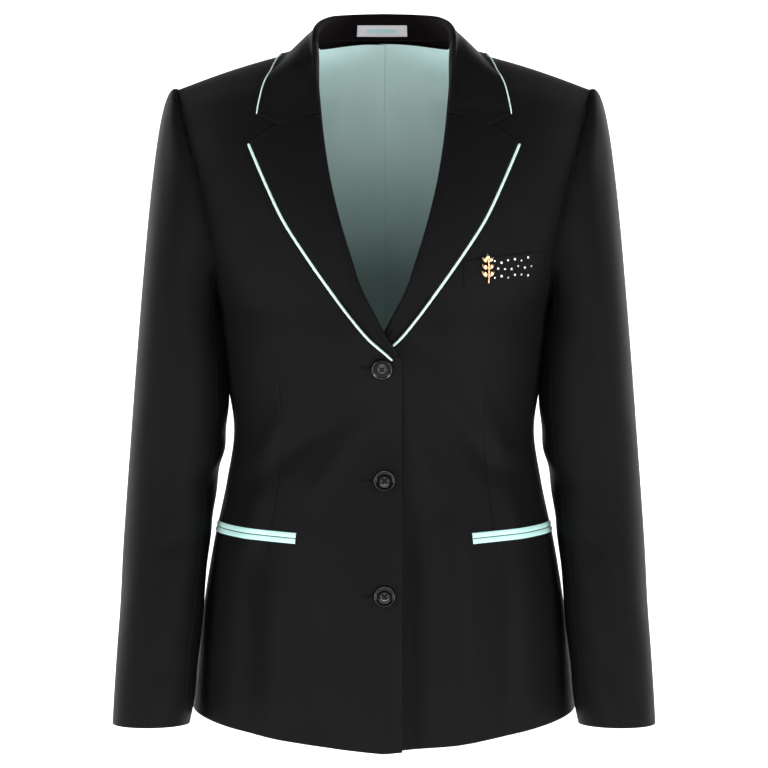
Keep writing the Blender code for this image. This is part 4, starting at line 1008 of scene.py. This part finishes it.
def collar(tree):
    """The collar in one piece, and the piping in its edge."""
    rows = [collar_row(tree, at) for at in np.linspace(0.0, 1.0, COLLAR_STATIONS + 1)]
    grid = np.array([mirrored(row, RIGHT) for row in rows[:0:-1]]
                    + [mirrored(row, LEFT) for row in rows])
    # the inside of the stand at the back of the neck takes a darker copy of the suiting: painted
    # shade of the inside of the neck
    zones = np.zeros((grid.shape[0] - 1, grid.shape[1] - 1), int)
    third = COLLAR_STATIONS // 3
    zones[third:2 * COLLAR_STATIONS - third, :STAND_COLUMNS] = 1
    shell("collar", grid, FOLDED, [suiting, stand_painted_shade], True, rim=FOLDED_RIM,
          zones=zones)
    path = grid[:, -1] + unit(grid[:, -1] - grid[:, -2]) * (THIN_PIPING + PIPING_AIR)
    path = rest_on(tree, path, THIN_PIPING + FALL_AIR)
    tube("piping_collar", path, THIN_PIPING, 12, piping_satin, "contrast_trim", PIPING_WAVES)
    return rows


def neck_label(rows):
    """A plain woven label on the inside of the stand."""
    stations = columns(COLLAR_ROWS, COLLAR_COLUMNS, "at", "neck_x")
    reach = np.interp(LABEL_WIDTH / 2, stations[:, 1], stations[:, 0])
    sides = np.linspace(-reach, reach, LABEL_POINTS[0]) + reach * 2 * LABEL_SHIFT / LABEL_WIDTH
    known = np.linspace(0.0, 1.0, COLLAR_STATIONS + 1)
    necks = np.array([row[0] for row in rows])
    tops = np.array([row[LABEL_TOP_COLUMN] for row in rows])
    heights = np.linspace(LABEL_FROM, LABEL_HIGH, LABEL_POINTS[1])
    strips = []
    for side in sides:
        sign = 1.0 if side >= 0 else -1.0
        neck = mirrored(read_curve(known, necks, abs(side))[0], sign)
        top = mirrored(read_curve(known, tops, abs(side))[0], sign)
        strips.append([neck + (top - neck) * share for share in heights])
    grid = np.array(strips)
    inward = normals_of(grid, False)
    inward *= -np.sign(inward[:, :, 1:2])
    grid = grid + inward * (LAID_ON + LABEL_THICK)
    shell("neck_label", grid, LABEL_THICK, [label_cloth], False)


def lining(name, sign, inner_x, lift):
    """Half of the back lining, with its edge at inner_x and soft folds down it."""
    ats = np.linspace(0.0, 1.0, PANEL_ROWS + 1)
    ends = share_at("back", ats, lambda height: np.full_like(height, inner_x))
    rows = []
    for end, at in zip(ends, ats):
        shares = np.linspace(LINING_SIDE, end, BACK_COLUMNS + 1)
        places = np.full_like(shares, at)
        points = body("back", shares, places)
        near_edge = ease(1.0 - (points[:, 0] - inner_x) / PLEAT_WIDTH)
        near_top = ease((at - LINING_TOP_FROM) / LINING_TOP_GROWS)
        by_shoulder = 1.0 - ease((shares - NECK_AT + SHOULDER_FADE / 2) / SHOULDER_FADE)
        inset = SHELL + LINING_AIR + lift * near_edge + LINING_AIR_TOP * near_top * by_shoulder
        inset = inset + ridges(points[:, 0] * sign, points[:, 2], LINING_FOLDS)
        rows.append(points - outward("back", shares, places) * inset[:, None])
    grid = np.stack(rows)
    grid[0] += grid[2] - grid[0]
    shell(name, mirrored(grid, sign), LINING, [lining_satin], sign < 0,
          rim=LINING_RIM)


def pocket(name, panel, sign):
    """A double jetted pocket: two soft round strips with a parting between them."""
    front_share = float(find(panel, POCKET_FRONT_X, POCKET_FRONT_Z)[0][0])
    shares = np.linspace(POCKET_SIDE_SHARE, front_share, JET_COLUMNS)
    ats = np.linspace(0.0, 1.0, JET_SEARCH)
    heights = np.linspace(POCKET_SIDE_Z, POCKET_FRONT_Z, len(shares))
    offsets = JET_PARTING / 4 + JET_HEIGHT * np.linspace(0.0, 1.0, JET_ROWS)
    swell = JET_SWELL * np.sin(np.linspace(0.08, 0.94, JET_ROWS) * math.pi) ** 0.7
    for part, way in (("upper", 1.0), ("lower", -1.0)):
        grid = np.zeros((len(offsets), len(shares), 3))
        for i, (share, height) in enumerate(zip(shares, heights)):
            column = body(panel, np.full_like(ats, share), ats)[:, 2]
            at = np.interp(height + way * offsets, column, ats)
            normal = outward(panel, np.full_like(at, share), at)
            grid[:, i] = body(panel, share, at) + normal * (LAID_ON + 0.4 + swell)[:, None]
        shell("pocket_jet_" + part + "_" + name, mirrored(grid, sign), 1.0, [jet_satin],
              sign * way > 0, rim=JET_RIM)


def on_welt(along, off):
    """x and z of a point of the welt, from its share of the length and height off the middle."""
    return tuple(inner + (outer - inner) * along + rise
                 for inner, outer, rise in zip(WELT_INNER, WELT_OUTER, (0.0, off)))


def chest_welt(panel, sign):
    """The breast pocket's welt."""
    across, up = np.meshgrid(np.linspace(0.0, 1.0, WELT_POINTS[0]),
                             np.linspace(-0.5, 0.5, WELT_POINTS[1]))
    x, z = on_welt(across, WELT_HEIGHT * up)
    grid = grid_of(partial(on_front, panel, height=WELT_STANDS), x, z)
    shell("chest_welt", mirrored(grid, sign), WELT_THICK, [suiting], sign < 0,
          rim=WELT_RIM)


def lathe(profile, sides):
    """Points and faces of a turned solid whose profile starts and ends on its axis."""
    turn = np.linspace(0.0, 2 * math.pi, sides, endpoint=False)
    rings = profile[1:-1]
    points = [(0.0, 0.0, profile[0][1])]
    for radius, height in rings:
        points += [(radius * math.cos(t), radius * math.sin(t), height) for t in turn]
    points.append((0.0, 0.0, profile[-1][1]))
    faces = []
    for i in range(sides):
        k = (i + 1) % sides
        faces.append((0, 1 + i, 1 + k))
        for j in range(len(rings) - 1):
            a, b = 1 + j * sides, 1 + (j + 1) * sides
            faces.append((a + i, b + i, b + k, a + k))
        base = 1 + (len(rings) - 1) * sides
        faces.append((base + i, len(points) - 1, base + k))
    return np.array(points), faces


def placed(points, panel, sign, x, z, stands):
    """Local points set on a panel where (x, z) is seen: local z is out, local y is up."""
    share, at = find(panel, x, z)
    normal = mirrored(outward(panel, share, at)[0], sign)
    seat = mirrored(body(panel, share, at)[0], sign) + normal * stands
    side = unit(np.cross([0.0, 0.0, 1.0], normal))
    up = np.cross(normal, side)
    return seat + points[:, :1] * side + points[:, 1:2] * up + points[:, 2:3] * normal


def joined(parts):
    """Several points and faces lists as one."""
    points = []
    faces = []
    for some, cells in parts:
        first = sum(len(p) for p in points)
        points.append(np.asarray(some, float))
        faces += [tuple(first + v for v in cell) for cell in cells]
    return np.concatenate(points), faces


def cord_of(path, radius, sides=8):
    """Points and faces of a thin round cord."""
    path = np.asarray(path, float)
    rings = hoops(path, unit(np.gradient(path, axis=0)), (0.13, 0.21, 0.97), radius, sides)
    ends = [tuple(range(sides))[::-1], tuple((len(path) - 1) * sides + i for i in range(sides))]
    return rings.reshape(-1, 3), bands(len(path), sides) + ends


def spoke(degrees):
    """Unit vector at an angle in the local x and y plane."""
    angle = math.radians(degrees)
    return np.array([math.cos(angle), math.sin(angle), 0.0])


def drilled(piece, drill):
    """Cuts the drill mesh out of a piece."""
    tool = linked("drill", drill)
    cut = piece.modifiers.new("Holes", "BOOLEAN")
    cut.operation = "DIFFERENCE"
    cut.object = tool
    shown = piece.evaluated_get(bpy.context.evaluated_depsgraph_get())
    made = bpy.data.meshes.new_from_object(shown)
    piece.modifiers.clear()
    piece.data = made
    bpy.data.objects.remove(tool)
    made.shade_smooth()
    made.set_sharp_from_angle(angle=math.radians(50))


def button(number, x, z, air):
    """A glossy button with a raised rim and four holes, sewn on with a cross of thread."""
    def sewn_on(points):
        return placed(points, "front_right", RIGHT, -x, z, air)

    points, faces = lathe(BUTTON_PROFILE, BUTTON_SIDES)
    # faces of the rim's crest and of the middle boss take a lighter grey material: a painted
    # highlight
    reach = np.array([np.linalg.norm(points[list(face), :2], axis=1).mean() for face in faces])
    painted_highlight_faces = ((reach > PAINTED_RIM_HIGHLIGHT[0]) & (reach < PAINTED_RIM_HIGHLIGHT[1])) | (reach < PAINTED_BOSS_HIGHLIGHT)
    painted_highlight_faces &= np.array([points[list(face), 2].mean() > 1.0 for face in faces])
    piece = build("button_%d" % number, sewn_on(points), faces, None, [button_gloss, button_rim],
                  painted_highlight_faces.astype(int))
    hole, hole_faces = lathe(((0, 9), (HOLE_RADIUS, 9), (HOLE_RADIUS, -6), (0, -6)), HOLE_SIDES)
    points, faces = joined([(hole + spoke(45 + 90 * k) * HOLE_SPREAD, hole_faces)
                            for k in range(4)])
    drilled(piece, mesh_of("drill", sewn_on(points) * MM, faces))
    threads = []
    for end in (spoke(45), spoke(135)):
        for offset in (-0.28, 0.28):
            shift = np.array([-end[1], end[0], 0.0]) * offset
            line = [end * HOLE_SPREAD * (1 - 2 * t) + shift
                    + np.array([0, 0, 1.9 + 0.9 * math.sin(math.pi * t) ** 0.6])
                    for t in np.linspace(0.0, 1.0, 13)]
            threads.append(cord_of(line, THREAD_RADIUS))
    points, faces = joined(threads)
    build("button_thread_%d" % number, sewn_on(points), faces, None, [thread_black], None)


def buttonhole(number, x, z):
    """A keyhole buttonhole worked in thread, that the button goes through."""
    line = []
    for t in np.linspace(0.0, 1.0, 121):
        if t < 0.4:
            line.append((-KEYHOLE_LENGTH * t / 0.4, 0.75))
        elif t < 0.6:
            turn = math.pi * (t - 0.4) / 0.2
            line.append((-KEYHOLE_LENGTH - 1.3 * math.sin(turn), 0.75 * math.cos(turn) * 1.7))
        else:
            line.append((-KEYHOLE_LENGTH * (1.0 - t) / 0.4, -0.75))
    flat = np.array(line)
    wave = 0.25 + 0.16 * np.sin(np.arange(len(flat)) * 2.1)
    path = on_front("front_right", flat[:, 0] * -1 - x, flat[:, 1] + z, wave)
    points, faces = cord_of(mirrored(path, RIGHT), 0.34)
    build("buttonhole_%d" % number, points, faces, None, [thread_black], None)


def leaf(length, width, rise):
    """A domed leaf with a ridge along its middle, lying along local x, closed underneath."""
    steps = 12
    points = []
    for j in range(steps + 1):
        t = j / steps
        half = width / 2 * math.sin(math.pi * t ** 0.8) ** 0.8
        crown = rise * math.sin(math.pi * t) ** 0.7
        for k, share in enumerate((-1.0, -0.6, -0.12, 0.0, 0.12, 0.6, 1.0)):
            lift = (0.0, 0.75, 0.78, 1.15, 0.78, 0.75, 0.0)[k] * crown
            points.append((t * length, half * share, lift))
    faces = [(j * 7 + i, (j + 1) * 7 + i, (j + 1) * 7 + i + 1, j * 7 + i + 1)
             for j in range(steps) for i in range(6)]
    faces += [(j * 7, j * 7 + 6, (j + 1) * 7 + 6, (j + 1) * 7) for j in range(steps)]
    return np.array(points), faces


def turned(points, degrees, move):
    """Points turned about local z and moved."""
    cosine, sine, _ = spoke(degrees)
    matrix = np.array([[cosine, -sine, 0], [sine, cosine, 0], [0, 0, 1]])
    return points @ matrix.T + np.array(move)


def gem(radius, height):
    """A round stone with a flat table and eight facets."""
    profile = ((0, height), (radius * 0.55, height), (radius, height * 0.45),
               (radius * 0.8, 0), (0, 0))
    return lathe(profile, 8)


def chest_pin():
    """A leaf sprig pin, and small clear stones sewn on the welt."""
    stem = [(0.6 * math.sin(t * 3.0), PIN_STEM * (t - 0.5), 0.9) for t in np.linspace(0, 1, 17)]
    parts = [cord_of(stem, 0.75, 10)]
    for side in (1, -1):
        for k in range(PIN_PAIRS):
            foot = PIN_STEM * ((k + PIN_FOOT) / PIN_SPACINGS - 0.5)
            points, faces = leaf(PIN_LEAF * (1.05 - 0.08 * k), 4.0, 1.25)
            lean = PIN_LEAN if side > 0 else 180 - PIN_LEAN
            parts.append((turned(points, lean, (0.5 * side, foot, 0.4)), faces))
    points, faces = leaf(6.4, 3.6, 1.2)
    parts.append((turned(points, 90, (0.0, PIN_STEM * 0.36, 0.4)), faces))
    points, faces = joined(parts)
    place = placed(points, "front_left", LEFT, *PIN_CENTRE, PIN_STANDS)
    pin = build("chest_pin", place, faces, None, [gilt], None)
    pin.data.set_sharp_from_angle(angle=math.radians(40))
    stones = []
    for along, off, size in STONES:
        points, faces = gem(size, size * 0.75)
        stones.append((placed(points, "front_left", LEFT, *on_welt(along, off),
                              WELT_STANDS + 0.1), faces))
    points, faces = joined(stones)
    build("welt_stones", points, faces, None, [crystal], None).data.shade_flat()


def principled(name, colour, rough, **sockets):
    """A material whose even values are on its shader's own sockets."""
    made = bpy.data.materials.new(name)
    made.use_nodes = True
    shader = made.node_tree.nodes["Principled BSDF"]
    shader.inputs["Base Color"].default_value = (*colour, 1.0)
    shader.inputs["Roughness"].default_value = rough
    for socket, value in sockets.items():
        shader.inputs[socket.replace("_", " ")].default_value = value
    return made, made.node_tree, shader


def node(tree, kind, inputs=(), **settings):
    """A node with its settings and inputs: an input is a value or another node's socket."""
    made = tree.nodes.new(kind)
    for setting, value in settings.items():
        setattr(made, setting, value)
    for socket, value in dict(inputs).items():
        if isinstance(value, bpy.types.NodeSocket):
            tree.links.new(value, made.inputs[socket])
        else:
            made.inputs[socket].default_value = value
    return made


def cloth_place(tree, scale=(1.0, 1.0, 1.0)):
    """The cloth's own coordinates in millimetres, scaled."""
    source = node(tree, "ShaderNodeAttribute", attribute_name="cloth")
    made = node(tree, "ShaderNodeMapping", {"Vector": source.outputs["Vector"], "Scale": scale})
    return made.outputs[0]


def mix_colours(tree, factor, low, high):
    mix = tree.nodes.new("ShaderNodeMix")
    mix.data_type = "RGBA"
    tree.links.new(factor, mix.inputs[0])
    for socket, value in ((6, low), (7, high)):
        if isinstance(value, bpy.types.NodeSocket):
            tree.links.new(value, mix.inputs[socket])
        else:
            mix.inputs[socket].default_value = (*value, 1.0)
    return mix.outputs[2]


def noise(tree, place, scale, detail):
    made = node(tree, "ShaderNodeTexNoise", {"Vector": place, "Scale": scale, "Detail": detail})
    return made.outputs["Fac"]


def worked_out(tree, operation, *values):
    """The result of a sum on values or sockets."""
    return node(tree, "ShaderNodeMath", dict(enumerate(values)), operation=operation).outputs[0]


def dress(tree, shader, factor, dark, light, height, depth):
    """Colours the shader from dark to light by a factor, with a bump of a depth in millimetres."""
    tree.links.new(mix_colours(tree, factor, dark, light), shader.inputs["Base Color"])
    bump = node(tree, "ShaderNodeBump", {"Height": height, "Strength": 1.0, "Distance": depth * MM})
    tree.links.new(bump.outputs[0], shader.inputs["Normal"])


def woven(name, dark, light, rough, pitch, depth, fleck, **sockets):
    """A woven cloth: diagonal ribs, slubs in its threads, broad soft variation and fine fibre."""
    made, tree, shader = principled(name, light, rough, **sockets)
    place = cloth_place(tree)
    ribs = node(tree, "ShaderNodeTexWave", {"Vector": place, "Scale": 0.628 / pitch,
                                            "Distortion": 0.6, "Detail": 1.0, "Detail Scale": 1.2},
                wave_type="BANDS", bands_direction="DIAGONAL").outputs["Fac"]
    slub = noise(tree, cloth_place(tree, (3.0, 0.12, 1.0)), 0.9, 2.0)
    broad = noise(tree, place, 0.022, 3.0)
    fibre = noise(tree, place, 1.7, 3.0)
    share = worked_out(tree, "MULTIPLY", ribs, 0.35)
    for factor, weight in ((slub, 0.25), (broad, 0.45), (fibre, fleck)):
        share = worked_out(tree, "MULTIPLY_ADD", factor, weight, share)
    dress(tree, shader, share, dark, light, worked_out(tree, "MULTIPLY_ADD", fibre, 0.8, ribs),
          depth)
    return made


def satin(name, dark, light, rough, stretch, depth, **sockets):
    """A smooth satin: long floats of thread, with faint pulls across them."""
    made, tree, shader = principled(name, light, rough, **sockets)
    floats = noise(tree, cloth_place(tree, stretch), 1.0, 3.0)
    pulls = noise(tree, cloth_place(tree, (0.04, 0.012, 1.0)), 1.0, 2.0)
    share = worked_out(tree, "MULTIPLY", floats, 0.4)
    share = worked_out(tree, "MULTIPLY_ADD", pulls, 0.6, share)
    dress(tree, shader, share, dark, light, floats, depth)
    return made


def label_material():
    """A damask label: pale ground, fine ribs and a plain block of the trim's colour."""
    made, tree, shader = principled("label_damask", (0.70, 0.68, 0.72), 0.6, Sheen_Weight=0.2)
    place = cloth_place(tree)
    ribs = node(tree, "ShaderNodeTexWave", {"Vector": place, "Scale": 0.314 / 0.5},
                wave_type="BANDS", bands_direction="Y").outputs["Fac"]
    ground = mix_colours(tree, ribs, (0.62, 0.60, 0.65), (0.74, 0.72, 0.76))
    parts = node(tree, "ShaderNodeSeparateXYZ", {"Vector": place}).outputs
    near = []
    for socket, middle, half in LABEL_BLOCK:
        away = worked_out(tree, "ABSOLUTE", worked_out(tree, "SUBTRACT", parts[socket], middle))
        near.append(worked_out(tree, "LESS_THAN", away, half))
    dress(tree, shader, worked_out(tree, "MULTIPLY", *near), ground, (0.42, 0.66, 0.66), ribs, 0.06)
    return made


def hard(name, dark, light, rough, grain, depth, **sockets):
    """A hard surface with faint mottling and wear."""
    made, tree, shader = principled(name, light, rough, **sockets)
    mottle = noise(tree, node(tree, "ShaderNodeTexCoord").outputs["Object"], grain, 4.0)
    dress(tree, shader, mottle, dark, light, mottle, depth)
    return made


suiting = woven("black_suiting", (0.0036, 0.0036, 0.0040), (0.0078, 0.0078, 0.0086), 0.55, 0.8,
                0.05, 0.25, Specular_IOR_Level=0.055)
# darker, rougher copy of the suiting for the inside of the stand: painted shade
stand_painted_shade = woven("stand_shade_paint", (0.0022, 0.0014, 0.0016), (0.0052, 0.0036, 0.0040), 0.8, 1.3,
                    0.08, 0.35, Specular_IOR_Level=0.04)
lining_satin = satin("mint_lining", (0.54, 0.80, 0.76), (0.72, 0.94, 0.91), 0.45,
                     (2.2, 0.10, 1.0), 0.02, Sheen_Weight=0.1, Specular_IOR_Level=0.3)
jet_satin = satin("mint_jet", (0.52, 0.86, 0.80), (0.60, 0.94, 0.88), 0.42, (0.25, 2.4, 1.0),
                  0.03, Sheen_Weight=0.15)
piping_satin = satin("mint_piping", (0.62, 0.84, 0.79), (0.74, 0.93, 0.88), 0.38,
                     (0.5, 1.3, 1.0), 0.05, Sheen_Weight=0.15)
thread_black = woven("sewing_thread", (0.0025, 0.0025, 0.0025), (0.0065, 0.0065, 0.007), 0.7,
                     0.4, 0.03, 0.3, Specular_IOR_Level=0.1)
button_gloss = hard("button_gloss", (0.0015, 0.0015, 0.0018), (0.0035, 0.0035, 0.004), 0.16,
                    600.0, 0.004, Specular_IOR_Level=0.22)
# lighter grey for the rim's crest and the middle boss: a painted highlight
button_rim = hard("button_rim", (0.020, 0.020, 0.021), (0.055, 0.055, 0.057), 0.20, 700.0,
                  0.006, Specular_IOR_Level=0.6)
gilt = hard("gilt", (0.66, 0.40, 0.20), (0.86, 0.58, 0.34), 0.24, 900.0, 0.01, Metallic=1.0)
crystal = hard("crystal", (0.80, 0.82, 0.85), (0.97, 0.98, 1.0), 0.05, 300.0, 0.0, Coat_Weight=1.0,
               Specular_IOR_Level=1.0)
label_cloth = label_material()

for side_name, side in (("right", RIGHT), ("left", LEFT)):
    front("front_" + side_name, side)
for side_name, side in (("right", RIGHT), ("left", LEFT)):
    back("back_" + side_name, side)
    sleeve_piece("sleeve_top_" + side_name, side, BACK_SLEEVE_SEAM - 360, FRONT_SLEEVE_SEAM,
                 TOP_SLEEVE_COLUMNS, PUCKER_HEIGHT)
    sleeve_piece("sleeve_under_" + side_name, side, FRONT_SLEEVE_SEAM, BACK_SLEEVE_SEAM,
                 UNDER_SLEEVE_COLUMNS, 0.0)
    armhole_seam("armhole_seam_" + side_name, side)
    pocket(side_name, "front_" + side_name, side)
lapel("right", "front_right", RIGHT, 1.0)
lapel("left", "front_left", LEFT, UNDER_LAPEL_SHARE)
torso = clear_torso()
neck_label(collar(torso))
lining("lining_right", RIGHT, -LINING_PLEAT, PLEAT_LIFT)
lining("lining_left", LEFT, LINING_UNDER, 0.0)
chest_welt("front_left", LEFT)
chest_pin()
for index, (button_x, button_z, button_air) in enumerate(BUTTON_PLACES):
    button(index + 1, button_x, button_z, button_air)
    buttonhole(index + 1, button_x - 9.0, button_z + 0.5)


def area_light(name, place, towards, size, power):
    """A large soft white lamp at place, facing towards, in metres and watts."""
    lamp = bpy.data.lights.new(name, "AREA")
    lamp.shape = "RECTANGLE"
    lamp.size, lamp.size_y = size
    lamp.energy = power
    made = linked(name, lamp)
    made.location = place
    made.rotation_euler = (Vector(towards) - Vector(place)).to_track_quat("-Z", "Y").to_euler()


def studio():
    """A pale floor that sweeps up behind, soft lamps, and the camera."""
    turns = [(math.sin(t) * SWEEP, SWEEP - math.cos(t) * SWEEP)
             for t in np.linspace(0, math.pi / 2, SWEEP_POINTS)]
    line = ([(-FLOOR_FRONT, 0.0)] + [(FLOOR_BACK + y, z) for y, z in turns]
            + [(FLOOR_BACK + SWEEP, FLOOR_TOP)])
    points = [(x, y, FLOOR_Z + z) for y, z in line for x in (-FLOOR_SIDE, FLOOR_SIDE)]
    faces = [(2 * k, 2 * k + 1, 2 * k + 3, 2 * k + 2) for k in range(len(line) - 1)]
    mesh = mesh_of("studio_floor", points, faces)
    mesh.shade_smooth()
    mesh.materials.append(principled("pale_floor", (0.88, 0.88, 0.88), 0.9)[0])
    linked("studio_floor", mesh)
    scene = bpy.context.scene
    scene.world = bpy.data.worlds.new("studio")
    scene.world.use_nodes = True
    background = scene.world.node_tree.nodes["Background"]
    background.inputs["Color"].default_value = (1.0, 1.0, 1.0, 1.0)
    background.inputs["Strength"].default_value = WORLD_STRENGTH
    scene.view_settings.view_transform = "Standard"
    for lamp in LAMPS:
        area_light(*lamp)
    camera = bpy.data.cameras.new("camera")
    camera.sensor_width = SENSOR
    camera.lens = SENSOR * CAMERA_AWAY / VIEW_WIDTH
    scene.camera = linked("camera", camera)
    scene.camera.location = (0.0, -CAMERA_AWAY, CAMERA_HEIGHT)
    scene.camera.rotation_euler = (math.radians(90.0), 0.0, 0.0)


studio()
